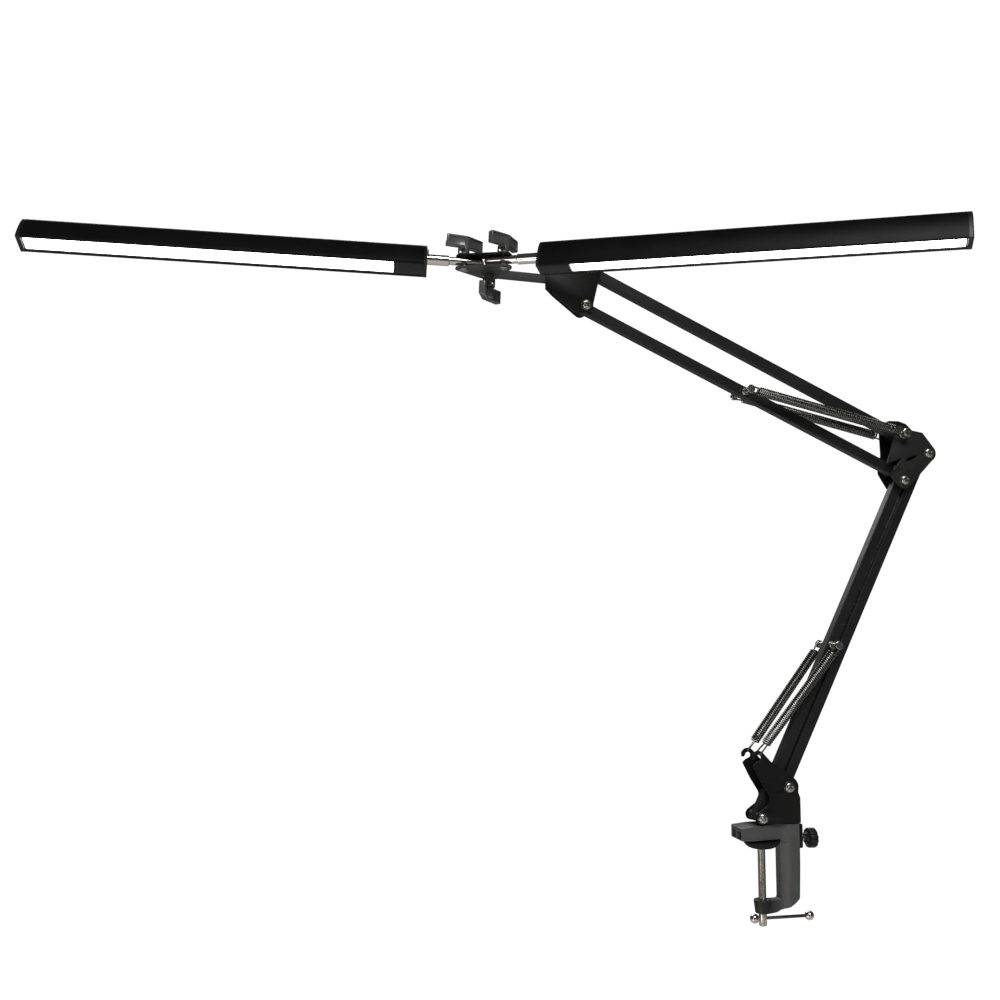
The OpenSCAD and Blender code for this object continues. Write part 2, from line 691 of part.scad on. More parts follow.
module inner_cap() color([0.1, 0.1, 0.1]) difference() {
    union() {
        along_x(lamp_start + 0.8, lamp_start + cap_in_t) polygon(arch_points(0));
        along_x(lamp_start, lamp_start + 0.8 + eps) polygon(arch_points(0.8));
        // tongue that closes the slot up to the diffuser
        translate([lamp_start + cap_in_t - eps, -slot_w / 2 + fit, face_z])
            cube([lit_start - lamp_start - cap_in_t - 0.2, slot_w - 2 * fit, skin]);
        // cable inlet beside the rod
        translate([lamp_start - 1.2, 0, 9]) rotate([0, 90, 0]) cylinder(r = 2.6, h = 3);
    }
    rod_x(rod_r, lamp_start - 3, lamp_start + 9);
    translate([lamp_start - 3, 0, 9]) rotate([0, 90, 0]) cylinder(r = 1.5, h = 9);
}

module led_board() color([0.9, 0.9, 0.88]) {
    z = face_z + skin + 6;
    translate([lit_start, -7, z]) cube([lamp_reach - cap_out_t - 3 - lit_start, 14, 1.2]);
    for (i = [0:31]) translate([lit_start + 6 + i * 10, -1.4, z - 0.7]) cube([2.8, 2.8, 0.7 + eps]);
}

module left_barrel() at_left() barrel();

module left_rod() at_left() rod();

module left_housing() at_left() rotate([left_roll, 0, 0]) housing();

module left_diffuser() at_left() rotate([left_roll, 0, 0]) diffuser();

module left_outer_cap() at_left() rotate([left_roll, 0, 0]) outer_cap();

module left_inner_cap() at_left() rotate([left_roll, 0, 0]) inner_cap();

module left_led_board() at_left() rotate([left_roll, 0, 0]) led_board();

module right_barrel() at_right() barrel();

module right_rod() at_right() rod();

module right_housing() at_right() rotate([-right_roll, 0, 0]) housing();

module right_diffuser() at_right() rotate([-right_roll, 0, 0]) diffuser();

module right_outer_cap() at_right() rotate([-right_roll, 0, 0]) outer_cap();

module right_inner_cap() at_right() rotate([-right_roll, 0, 0]) inner_cap();

module right_led_board() at_right() rotate([-right_roll, 0, 0]) led_board();

clamp_frame();
socket_bush();
pressure_pad();
clamp_screw();
tommy_bar();
tommy_bar_balls();
lock_knob();
lock_screw();
base_bracket();
base_spigot();
base_sleeves();
base_bolts();
base_nuts();
base_spacers();
lower_front_bar();
lower_spring_pin();
lower_rear_bar();
lower_spring_near();
lower_spring_far();
elbow_plate_near();
elbow_plate_far();
elbow_sleeves();
elbow_bolts();
elbow_spring_bolt();
elbow_nuts();
elbow_spacers();
upper_lower_bar();
upper_spring_pin();
upper_top_bar();
upper_spring_near();
upper_spring_far();
head_bracket();
head_sleeves();
head_bolts();
head_nuts();
head_spacers();
twin_lower_plate();
twin_top_plate();
twin_nuts();
lower_thumb_knob();
lower_thumb_screw();
left_thumb_knob();
left_thumb_screw();
right_thumb_knob();
right_thumb_screw();
left_barrel();
left_rod();
left_housing();
left_diffuser();
left_outer_cap();
left_inner_cap();
left_led_board();
right_barrel();
right_rod();
right_housing();
right_diffuser();
right_outer_cap();
right_inner_cap();
right_led_board();
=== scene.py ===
from math import atan2, cos, hypot, pi, radians, sin

import bmesh
import bpy
from mathutils import Matrix, Vector


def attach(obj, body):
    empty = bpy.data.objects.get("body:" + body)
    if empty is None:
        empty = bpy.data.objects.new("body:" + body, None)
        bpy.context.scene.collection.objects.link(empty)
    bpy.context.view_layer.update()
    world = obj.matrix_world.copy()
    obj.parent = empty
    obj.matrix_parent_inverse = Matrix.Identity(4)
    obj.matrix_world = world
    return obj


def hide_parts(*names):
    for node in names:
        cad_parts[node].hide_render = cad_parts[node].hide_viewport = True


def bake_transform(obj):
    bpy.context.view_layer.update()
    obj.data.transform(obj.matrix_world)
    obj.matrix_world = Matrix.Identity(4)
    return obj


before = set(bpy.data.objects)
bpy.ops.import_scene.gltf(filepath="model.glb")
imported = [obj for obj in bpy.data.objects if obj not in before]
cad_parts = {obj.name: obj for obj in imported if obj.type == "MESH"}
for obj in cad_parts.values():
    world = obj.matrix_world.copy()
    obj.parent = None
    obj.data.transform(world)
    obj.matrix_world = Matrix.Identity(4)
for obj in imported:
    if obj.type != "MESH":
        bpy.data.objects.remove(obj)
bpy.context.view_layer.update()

MM = 0.001
BACKDROP = 1.05  # just over white, so the backdrop stays pure white
BOX_FACES = [(0, 3, 2, 1), (4, 5, 6, 7), (0, 1, 5, 4), (1, 2, 6, 5), (2, 3, 7, 6), (3, 0, 4, 7)]


# ---------- node materials
def shader(name):
    """A new material with its tree and Principled shader."""
    mat = bpy.data.materials.new(name)
    mat.use_nodes = True
    tree = mat.node_tree
    return mat, tree, tree.nodes["Principled BSDF"]


def add(tree, kind, **values):
    """A new node with the given settings."""
    node = tree.nodes.new(kind)
    for key, value in values.items():
        setattr(node, key, value)
    return node


def object_coords(tree):
    """Points in the piece's own frame, so finishes stay on it when it moves."""
    return add(tree, "ShaderNodeTexCoord").outputs["Object"]


def noise(tree, vector, scale, detail=3.0, rough=0.55):
    """Smooth noise from 0 to 1, about 0.5 on average."""
    node = add(tree, "ShaderNodeTexNoise")
    node.inputs["Scale"].default_value = scale
    node.inputs["Detail"].default_value = detail
    node.inputs["Roughness"].default_value = rough
    tree.links.new(vector, node.inputs["Vector"])
    return node.outputs["Fac"]


def ramp(tree, fac, low, high, a, b):
    """Maps fac from low..high to a..b."""
    node = add(tree, "ShaderNodeMapRange")
    node.inputs["From Min"].default_value = low
    node.inputs["From Max"].default_value = high
    node.inputs["To Min"].default_value = a
    node.inputs["To Max"].default_value = b
    tree.links.new(fac, node.inputs["Value"])
    return node.outputs["Result"]


def mix_colors(tree, fac, a, b):
    """Colour a at fac 0, b at fac 1."""
    node = add(tree, "ShaderNodeMix", data_type="RGBA")
    node.inputs["A"].default_value = (*a, 1)
    node.inputs["B"].default_value = (*b, 1)
    tree.links.new(fac, node.inputs["Factor"])
    return node.outputs["Result"]


def bump(tree, bsdf, height, strength, distance):
    """Bumps the shader by height, at most distance metres."""
    node = add(tree, "ShaderNodeBump")
    node.inputs["Strength"].default_value = strength
    node.inputs["Distance"].default_value = distance
    tree.links.new(height, node.inputs["Height"])
    tree.links.new(node.outputs["Normal"], bsdf.inputs["Normal"])


def spread(tree, fac, a, b):
    """From a to b over the middle of a noise's values."""
    return ramp(tree, fac, 0.3, 0.7, a, b)


def surface(name, base, other, rough, rough2, metallic=0.0, grain=900.0, strength=0.08, depth=0.00008,
            patch=28.0, coat=0.0, specular=0.5):
    """A finish with broad colour and gloss variation and a fine grain."""
    mat, tree, bsdf = shader(name)
    at = object_coords(tree)
    broad = noise(tree, at, patch, 4.0)
    fine = noise(tree, at, grain, 2.0)
    tree.links.new(mix_colors(tree, spread(tree, broad, 0, 1), base, other), bsdf.inputs["Base Color"])
    tree.links.new(spread(tree, broad, rough, rough2), bsdf.inputs["Roughness"])
    bsdf.inputs["Metallic"].default_value = metallic
    bsdf.inputs["Coat Weight"].default_value = coat
    bsdf.inputs["Specular IOR Level"].default_value = specular
    bump(tree, bsdf, fine, strength, depth)
    return mat


ARM = surface("arm powder coat", (0.011, 0.011, 0.011), (0.016, 0.016, 0.016), 0.4, 0.5, grain=1600, strength=0.12,
              specular=0.26)
PLATE = surface("plate powder coat", (0.006, 0.006, 0.006), (0.009, 0.009, 0.0087), 0.38, 0.48, grain=1500,
                strength=0.12, specular=0.2)
# Painted light: a lighter copy of the black plate coat, for the near elbow plate and its rivet; the far elbow plate
# keeps the darker plate coat.
LIT_ELBOW_COAT = surface("plate coat painted lighter", (0.017, 0.017, 0.017), (0.023, 0.023, 0.0225), 0.42, 0.52, grain=1500,
                strength=0.12, specular=0.3)
# Painted light: a lighter copy of the black plate coat, standing for the light on the undersides of the head's tab (the
# web of the same folded bracket as the head's cheeks) and of the twin lower plate.
LIT_TAB_COAT = surface("tab coat painted lighter", (0.04, 0.04, 0.04), (0.055, 0.055, 0.054), 0.36, 0.46, grain=1500, strength=0.12,
              specular=0.4)
PLASTIC = surface("black moulding", (0.008, 0.008, 0.008), (0.012, 0.012, 0.012), 0.34, 0.44, grain=1800,
                  strength=0.06, specular=0.3)
KNOB = surface("knob moulding", (0.075, 0.075, 0.075), (0.09, 0.09, 0.09), 0.24, 0.32, grain=1800, strength=0.06,
               specular=0.6, coat=0.3)
PAD = surface("pad moulding", (0.006, 0.006, 0.006), (0.009, 0.009, 0.009), 0.55, 0.65, grain=1200, strength=0.15,
              specular=0.2)
LAMP = surface("lamp anodising", (0.003, 0.003, 0.003), (0.005, 0.005, 0.005), 0.36, 0.42, grain=2200, strength=0.05,
               specular=0.1)
ZINC = surface("zinc plating", (0.5, 0.49, 0.46), (0.4, 0.39, 0.365), 0.2, 0.33, metallic=1.0, patch=300,
               grain=2500, strength=0.05)
# Darker zinc, for the tommy bar and the washers under the bolt heads.
DARK_ZINC = surface("dark zinc plating", (0.16, 0.155, 0.15), (0.11, 0.105, 0.1), 0.3, 0.42, metallic=1.0, patch=300,
                    grain=2500, strength=0.08)
STEEL = surface("bright steel", (0.62, 0.6, 0.56), (0.52, 0.5, 0.47), 0.2, 0.3, metallic=1.0, patch=200,
                grain=2500, strength=0.05)
CHROME = surface("chrome", (0.7, 0.66, 0.61), (0.64, 0.6, 0.56), 0.06, 0.1, metallic=1.0, patch=80, grain=1500,
                 strength=0.01)
SPRING = surface("spring steel", (0.2, 0.195, 0.19), (0.13, 0.128, 0.125), 0.24, 0.34, metallic=1.0, patch=250,
                 grain=2500, strength=0.05)
BOARD = surface("led board", (0.75, 0.75, 0.72), (0.7, 0.7, 0.68), 0.5, 0.6, patch=60)


def casting_with_painted_shade():
    """Grey cast metal with painted shade: near black round the screw's boss and the lower jaw's tip, where the upper
    jaw shades them.
    """
    mat, tree, bsdf = shader("clamp casting")
    at = object_coords(tree)
    broad, fine = noise(tree, at, 28.0, 4.0), noise(tree, at, 700.0, 2.0)
    grey = mix_colors(tree, spread(tree, broad, 0, 1), (0.072, 0.072, 0.073), (0.088, 0.088, 0.088))
    split = add(tree, "ShaderNodeSeparateXYZ")
    tree.links.new(at, split.inputs[0])
    # Painted shade mask: low round the screw's boss and lower jaw tip under the upper jaw, 1 elsewhere.
    outside_painted_shade = add(tree, "ShaderNodeMath", operation="MAXIMUM")
    tree.links.new(ramp(tree, split.outputs["X"], 0.004, 0.021, 0.12, 1), outside_painted_shade.inputs[0])
    tree.links.new(ramp(tree, split.outputs["Z"], -0.05, -0.03, 0.12, 1), outside_painted_shade.inputs[1])
    # Mixes in near-black painted shade where the mask is low.
    node = add(tree, "ShaderNodeMix", data_type="RGBA")
    node.inputs["A"].default_value = (0.006, 0.006, 0.006, 1)
    tree.links.new(grey, node.inputs["B"])
    tree.links.new(outside_painted_shade.outputs[0], node.inputs["Factor"])
    tree.links.new(node.outputs["Result"], bsdf.inputs["Base Color"])
    tree.links.new(spread(tree, broad, 0.42, 0.52), bsdf.inputs["Roughness"])
    bsdf.inputs["Specular IOR Level"].default_value = 0.35
    bump(tree, bsdf, fine, 0.2, 0.0001)
    return mat


def threaded_steel():
    """Bright steel with the fine ridges of a rolled thread."""
    mat, tree, bsdf = shader("screw steel")
    at = object_coords(tree)
    broad = noise(tree, at, 120.0, 3.0)
    tree.links.new(mix_colors(tree, broad, (0.62, 0.57, 0.5), (0.5, 0.46, 0.4)), bsdf.inputs["Base Color"])
    tree.links.new(spread(tree, broad, 0.16, 0.26), bsdf.inputs["Roughness"])
    bsdf.inputs["Metallic"].default_value = 1.0
    wave = add(tree, "ShaderNodeTexWave", wave_type="BANDS", bands_direction="Z")
    wave.inputs["Scale"].default_value = 251.0
    tree.links.new(at, wave.inputs["Vector"])
    bump(tree, bsdf, wave.outputs["Fac"], 0.2, 0.00005)
    return mat


def lit_diffuser():
    """Opal plastic lit from behind."""
    mat, tree, bsdf = shader("lit diffuser")
    at = object_coords(tree)
    soft = noise(tree, at, 18.0, 2.0)
    tree.links.new(mix_colors(tree, soft, (0.95, 0.95, 0.94), (0.9, 0.9, 0.9)), bsdf.inputs["Base Color"])
    bsdf.inputs["Roughness"].default_value = 0.45
    tree.links.new(mix_colors(tree, soft, (1.0, 0.985, 0.96), (0.97, 0.97, 0.97)), bsdf.inputs["Emission Color"])
    tree.links.new(spread(tree, soft, 6.0, 6.8), bsdf.inputs["Emission Strength"])
    return mat


CASTING, THREAD, DIFFUSER = casting_with_painted_shade(), threaded_steel(), lit_diffuser()


# ---------- mesh helpers
def finish_object(ob, mat, body=None, stands_for=(), smooth=35.0):
    """Gives a piece its material, shading, body and the CAD nodes it stands for."""
    ob.name = ob.name.replace(" ", "-")
    me = ob.data
    me.materials.clear()
    me.materials.append(mat)
    me.polygons.foreach_set("use_smooth", [True] * len(me.polygons))
    me.set_sharp_from_angle(angle=radians(smooth))
    if body:
        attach(ob, body)
    if stands_for:
        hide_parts(*stands_for)
    return ob


def raw(name, verts, faces):
    """A mesh object in the scene from points in metres."""
    me = bpy.data.meshes.new(name)
    me.from_pydata([tuple(v) for v in verts], [], faces)
    me.validate()
    ob = bpy.data.objects.new(name, me)
    bpy.context.scene.collection.objects.link(ob)
    return ob


def bake(ob):
    """Turns an object and its modifiers into a plain mesh in the row frame."""
    bpy.context.view_layer.update()
    deps = bpy.context.evaluated_depsgraph_get()
    me = bpy.data.meshes.new_from_object(ob.evaluated_get(deps))
    me.transform(ob.matrix_world)
    name = ob.name
    bpy.data.objects.remove(ob)
    new = bpy.data.objects.new(name, me)
    new.name = name
    bpy.context.scene.collection.objects.link(new)
    return new


def bevel(ob, width, segments=2, angle=30.0):
    """Rounds the edges sharper than angle by width in mm."""
    mod = ob.modifiers.new("bevel", "BEVEL")
    mod.width = width * MM
    mod.segments = segments
    mod.limit_method = "ANGLE"
    mod.angle_limit = radians(angle)
    return bake(ob)


def boolean(ob, other, operation="DIFFERENCE"):
    """Cuts, joins or intersects ob with other, and removes other."""
    mod = ob.modifiers.new("bool", "BOOLEAN")
    mod.object = other
    mod.operation = operation
    mod.solver = "EXACT"
    out = bake(ob)
    bpy.data.objects.remove(other)
    return out


def join(name, obs):
    """One mesh object from several, all in the row frame."""
    bm = bmesh.new()
    for ob in obs:
        me = ob.data.copy()
        me.transform(ob.matrix_world)
        bm.from_mesh(me)
        bpy.data.meshes.remove(me)
        bpy.data.objects.remove(ob)
    me = bpy.data.meshes.new(name)
    bm.to_mesh(me)
    bm.free()
    ob = bpy.data.objects.new(name, me)
    bpy.context.scene.collection.objects.link(ob)
    return ob


def place(ob, matrix):
    """Moves a mesh's points by matrix; a mirrored mesh gets its faces turned."""
    ob.data.transform(matrix)
    if matrix.determinant() < 0:
        ob.data.flip_normals()
    return ob


def shift(x, y, z):
    """A translation in mm."""
    return Matrix.Translation((x * MM, y * MM, z * MM))


def turn_about(axis, degrees):
    """A rotation in degrees about X, Y or Z."""
    return Matrix.Rotation(radians(degrees), 4, axis)


def frame_matrix(origin, x_axis, z_axis):
    """Matrix whose local X and Z point along the given axes, at origin in mm."""
    z = Vector(z_axis).normalized()
    x = (Vector(x_axis) - z * Vector(x_axis).dot(z)).normalized()
    y = z.cross(x)
    m = Matrix((x, y, z)).transposed().to_4x4()
    m.translation = Vector(origin) * MM
    return m


def lathe(name, profile, matrix=None, segments=64):
    """Revolves [(radius, height), ...] in mm about local Z. Ends on the axis close the shape."""
    verts, faces, rings = [], [], []
    for r, h in profile:
        if r < 1e-6:
            rings.append([len(verts)])
            verts.append((0, 0, h * MM))
        else:
            rings.append(list(range(len(verts), len(verts) + segments)))
            for i in range(segments):
                a = 2 * pi * i / segments
                verts.append((r * cos(a) * MM, r * sin(a) * MM, h * MM))
    for low, high in zip(rings, rings[1:]):
        for i in range(segments):
            j = (i + 1) % segments
            if len(low) == 1 and len(high) == 1:
                continue
            if len(low) == 1:
                faces.append((low[0], high[j], high[i]))
            elif len(high) == 1:
                faces.append((low[i], low[j], high[0]))
            else:
                faces.append((low[i], low[j], high[j], high[i]))
    ob = raw(name, verts, faces)
    return place(ob, matrix) if matrix else ob


def cyl(name, r, h0, h1, matrix=None, segments=64, edge=0.0):
    """A round bar of radius r along local Z from h0 to h1, in mm, with edges rounded by edge."""
    if edge:
        inset, soft = r - edge, 0.3 * edge
        prof = [(0, h0), (inset, h0), (r - soft, h0 + soft), (r, h0 + edge), (r, h1 - edge), (r - soft, h1 - soft),
                (inset, h1), (0, h1)]
    else:
        prof = [(0, h0), (r, h0), (r, h1), (0, h1)]
    return lathe(name, prof, matrix, segments)


def block(name, low, high, edge=0.0, segments=3):
    """A box between two corners in mm, with edges rounded by edge."""
    x0, y0, z0 = (c * MM for c in low)
    x1, y1, z1 = (c * MM for c in high)
    v = [(x0, y0, z0), (x1, y0, z0), (x1, y1, z0), (x0, y1, z0), (x0, y0, z1), (x1, y0, z1), (x1, y1, z1),
         (x0, y1, z1)]
    ob = raw(name, v, BOX_FACES)
    return bevel(ob, edge, segments) if edge else ob


def circle(c, r, n=32, way=1):
    """A circle of n points; six make a hexagon."""
    return [(c[0] + r * cos(way * 2 * pi * i / n), c[1] + r * sin(way * 2 * pi * i / n)) for i in range(n)]


def hole(c, r):
    """A round hole's loop, which runs against its outline."""
    return circle(c, r, way=-1)


def arc(c, r, a0, a1, n=12):
    """Points round c from angle a0 to a1 in degrees."""
    return [(c[0] + r * cos(radians(a0 + (a1 - a0) * i / n)), c[1] + r * sin(radians(a0 + (a1 - a0) * i / n)))
            for i in range(n + 1)]


def corner(a, p, b, r, n=6):
    """The rounded corner of an outline at p, between its neighbours a and b."""
    va, vb = Vector(a) - Vector(p), Vector(b) - Vector(p)
    la, lb = va.length, vb.length
    half = va.angle(vb) / 2
    if half > radians(84):
        return [tuple(p)]
    cut = min(r * cos(half) / sin(half), 0.45 * la, 0.45 * lb)
    start, end = Vector(p) + va / la * cut, Vector(p) + vb / lb * cut
    out = []
    for k in range(n + 1):
        t = k / n
        q = start.lerp(Vector(p), t).lerp(Vector(p).lerp(end, t), t)
        out.append((q.x, q.y))
    return out


def rounded(points, radii, default):
    """A closed outline with each corner rounded."""
    out = []
    for i, p in enumerate(points):
        out += corner(points[i - 1], p, points[(i + 1) % len(points)], radii.get(i, default))
    return out


def extrude(name, loops, depth, edge=0.25, matrix=None, segments=2):
    """A flat plate from 2D loops in mm (the first is the outline, the rest are holes), centred on local z = 0."""
    curve = bpy.data.curves.new(name, "CURVE")
    curve.dimensions = "2D"
    curve.fill_mode = "BOTH"
    for loop in loops:
        spline = curve.splines.new("POLY")
        spline.points.add(len(loop) - 1)
        for point, (x, y) in zip(spline.points, loop):
            point.co = (x * MM, y * MM, 0, 1)
        spline.use_cyclic_u = True
    curve.extrude = (depth / 2 - edge) * MM
    curve.bevel_depth = edge * MM
    curve.bevel_resolution = segments - 1
    curve.offset = -edge * MM
    ob = bpy.data.objects.new(name, curve)
    bpy.context.scene.collection.objects.link(ob)
    ob = bake(ob)
    bm = bmesh.new()
    bm.from_mesh(ob.data)
    bmesh.ops.remove_doubles(bm, verts=bm.verts, dist=1e-6)
    bmesh.ops.recalc_face_normals(bm, faces=bm.faces)
    bm.to_mesh(ob.data)
    bm.free()
    return place(ob, matrix) if matrix else ob


def plate_xz(name, loops, y0, y1, edge=0.25):
    """A plate whose outline is in the XZ plane, between two y values in mm."""
    turn = Matrix(((1, 0, 0, 0), (0, 0, -1, (y0 + y1) / 2 * MM), (0, 1, 0, 0), (0, 0, 0, 1)))
    return extrude(name, loops, y1 - y0, edge, turn)


def ring_faces(count, n):
    """Quads that join each of count rings of n points to the next."""
    return [(i * n + k, i * n + (k + 1) % n, (i + 1) * n + (k + 1) % n, (i + 1) * n + k)
            for i in range(count - 1) for k in range(n)]


def skin(name, verts, n):
    """Joins rings of n points into a tube and closes both ends."""
    last = len(verts) - n
    ends = [tuple(range(n - 1, -1, -1)), tuple(range(last, last + n))]
    return raw(name, verts, ring_faces(len(verts) // n, n) + ends)


def wire_along(name, path, r, sides):
    """A round wire of radius r along a list of points in mm."""
    pts = [Vector(p) * MM for p in path]
    verts = []
    normal = (pts[1] - pts[0]).normalized().orthogonal()
    for i, p in enumerate(pts):
        ahead = (pts[min(i + 1, len(pts) - 1)] - pts[max(i - 1, 0)]).normalized()
        normal = (normal - ahead * normal.dot(ahead)).normalized()
        side = ahead.cross(normal)
        for k in range(sides):
            a = 2 * pi * k / sides
            verts.append(p + (normal * cos(a) + side * sin(a)) * r * MM)
    return skin(name, verts, sides)


def along_y(p, y, flip=False):
    """Local Z points along +Y (or -Y if flip) at the XZ point p."""
    return frame_matrix((p[0], y, p[1]), (1, 0, 0), (0, -1 if flip else 1, 0))


# ---------- shared positions, in mm
LOWER_LEN, UPPER_LEN = 360.0, 353.5
dir_lower = (cos(radians(63.7)), sin(radians(63.7)))
dir_upper = (-cos(radians(25)), sin(radians(25)))


def plus(p, q, k=1.0):
    """The point p moved by k times q."""
    return (p[0] + k * q[0], p[1] + k * q[1])


base_front, base_rear = (-3.5, 20.5), (23.9, 48.3)
elbow_low = plus(base_front, dir_lower, LOWER_LEN)
elbow_right = plus(base_rear, dir_lower, LOWER_LEN)
elbow_top = plus(elbow_low, (-0.6, 46.5))
elbow_left = plus(elbow_low, (-6.7, 10.2))
head_low = plus(elbow_left, dir_upper, UPPER_LEN)
head_top = plus(elbow_top, dir_upper, UPPER_LEN)
lower_pin = plus(base_front, dir_lower, 179)
upper_pin = plus(elbow_left, dir_upper, 174.6)
hook_hole = (-6.5, 76.0)
CHEEK_IN, CHEEK_OUT, WASHER_T = 11.0, 12.5, 0.8
BOLT_HOLE, THUMB_HOLE = 2.6, 2.1
SPRING_Y = 18.3
SOCKET_X, LOCK_Z, TOMMY_Z = 24.0, -1.8, -73.5
at_socket = shift(SOCKET_X, 0, 0)
at_lock = frame_matrix((0, 0, LOCK_Z), (0, 1, 0), (1, 0, 0))
at_tommy = frame_matrix((0, 0, TOMMY_Z), (0, 1, 0), (1, 0, 0))
twin_pivot = (-262.8, 529.1)
ROD_Z, BARREL_R, PLATE_T, GAP = 7.3, 3.9, 1.5, 0.2
TOP = ROD_Z + BARREL_R + GAP + PLATE_T + GAP
COLLAR = 3.4
LEFT_AXIS, RIGHT_AXIS = (-19.0, -21.4), (19.0, -21.4)
LAMP_START, LAMP_END, LAMP_W, LAMP_H, SKIN = 34.2, 399.7, 21.0, 28.5, 1.5
SLOT_W, FACE_Z, LIT = 15.0, -13.0, 65.0
at_twin = shift(twin_pivot[0], 0, twin_pivot[1]) @ turn_about("Y", 2.2)


def at_thumb(c):
    """Frame of the thumb screw at c on the twin bracket."""
    return at_twin @ turn_about("Z", -25.5) @ shift(*c, 0)


def at_lamp(c, turn):
    """Frame of a lamp's rod, its X along the rod."""
    return at_thumb(c) @ shift(0, 0, ROD_Z) @ turn_about("Z", turn)


ALONG_X = Matrix(((0, 0, 1, 0), (0, 1, 0, 0), (-1, 0, 0, 0), (0, 0, 0, 1)))


# ---------- fasteners
def cross_recess(r, t, matrix):
    """A tapered cross-shaped cutter for a screw head of radius r, its top at t."""
    parts = []
    for turn in (0, 90):
        v = []
        for z, l, w in ((t - 1.5, 0.28 * r, 0.34), (t + 0.5, 0.62 * r, 0.75)):
            for x, y in ((-l, -w), (l, -w), (l, w), (-l, w)):
                v.append((x * MM, y * MM, z * MM))
        ob = raw("recess", v, BOX_FACES)
        parts.append(place(ob, matrix @ turn_about("Z", turn + 18)))
    return parts


def pan_head(name, r, t, matrix):
    """A domed screw head with a cross recess."""
    prof = [(0, 0), (r - 0.2, 0), (r, 0.25), (r, t * 0.3)]
    for i in range(1, 9):
        a = i / 8 * pi / 2
        prof.append((r * cos(a) ** 0.75 if i < 8 else 0, t * 0.3 + t * 0.7 * sin(a)))
    ob = lathe(name, prof, matrix, 48)
    for cutter in cross_recess(r, t, matrix):
        ob = boolean(ob, cutter)
    return ob


def washer(name, p, y0, y1, inner=2.55):
    """A washer round the XZ point p, between two y values."""
    h, r = y1 - y0, 5.45
    prof = [(inner, 0.0), (r - 0.2, 0), (r, 0.2), (r, h - 0.2), (r - 0.2, h), (inner, h), (inner, 0)]
    return lathe(name, prof, along_y(p, y0), 48)


def bolt_set(name, points, body, nodes):
    """Pan head bolts, heads in front, with a dark washer under each."""
    parts, rings = [], []
    for p in points:
        parts.append(pan_head(name, 4.75, 2.9, along_y(p, -CHEEK_OUT - WASHER_T, flip=True)))
        rings.append(washer(name, p, -CHEEK_OUT - WASHER_T, -CHEEK_OUT))
        parts.append(cyl(name, 2.45, -CHEEK_OUT - 0.5, CHEEK_OUT + 5.7, along_y(p, 0), 32, 0.35))
    finish_object(join(name + " washers", rings), DARK_ZINC, body)
    return finish_object(join(name, parts), ZINC, body, nodes)


def nut_set(name, points, body, nodes):
    """Hexagon nuts with washers on the far side."""
    parts, nut_t = [], 4.0
    for p in points:
        middle = along_y(p, CHEEK_OUT + WASHER_T + nut_t / 2)
        parts.append(extrude(name, [circle((0, 0), 4.6, 6), hole((0, 0), BOLT_HOLE)], nut_t, 0.3, middle))
        parts.append(washer(name, p, CHEEK_OUT, CHEEK_OUT + WASHER_T, inner=BOLT_HOLE))
    return finish_object(join(name, parts), ZINC, body, nodes)


# ---------- base
def hook_outline():
    """The C-shaped claw at the top of a cheek, as one outline with its open eye."""
    c = hook_hole
    out = arc(c, 6.4, 40, 180, 14)
    out += arc((c[0] - 4.9, c[1] + 0.2), 1.5, 180, 290, 5)
    out += arc(c, 3.1, 170, -60, 16)
    return out


def base_cheek_loops():
    """A cheek's outline and its two pivot holes."""
    c = hook_hole
    outline = [(34.8, 15.2), (34.8, 38), (32.9, 43)] + arc(base_rear, 9.4, 2, 55, 9) + [(5.5, 72.5)]
    outline += hook_outline()
    outline += [(c[0] - 1.8, c[1] - 4.0), (-11.6, 69.2), (-10.9, 67.4), (-4.5, 54.6), (3.2, 42.5), (4.2, 39.6),
                (3.6, 35), (1.8, 31.4)]
    outline += arc(base_front, 6.0, 115, 222, 12) + [(-5.4, 15.2)]
    return [outline, hole(base_front, BOLT_HOLE), hole(base_rear, BOLT_HOLE)]


def build_base():
    """The folded bracket on its spigot, with its bolts and nuts."""
    parts = [plate_xz("base bracket", base_cheek_loops(), y, y + PLATE_T) for y in (-CHEEK_OUT, CHEEK_IN)]
    web = block("base bracket", (33.3, -12.4, 15.25), (34.75, 12.4, 40), 0.45)
    floor = block("base bracket", (9, -12.4, 15.25), (34.75, 12.4, 16.7), 0.45)
    parts += [web, boolean(floor, cyl("cut", 4.05, 10, 20, at_socket))]
    finish_object(join("base bracket", parts), PLATE, "base_post", ["base_bracket"])
    post = lathe("base spigot", [(0, -23), (4.2, -23), (4.7, -22.6), (5, -22), (5, 15.2), (3.95, 15.2), (3.95, 16.7),
                                 (6.3, 16.7), (6.5, 16.95), (6.4, 17.4), (5.4, 18.2), (4, 18.8), (0, 19)], at_socket)
    finish_object(post, STEEL, "base_post", ["base_spigot"])
    bolt_set("base bolts", (base_front, base_rear), "base_post", ["base_bolts"])
    nut_set("base nuts", (base_front, base_rear), "base_post", ["base_nuts"])


# ---------- clamp
def prism_z(name, loop, z0, z1, edge=0.0, segments=2):
    """An upright prism with an outline in the XY plane."""
    return extrude(name, [loop], z1 - z0, edge, shift(0, 0, (z0 + z1) / 2), segments)


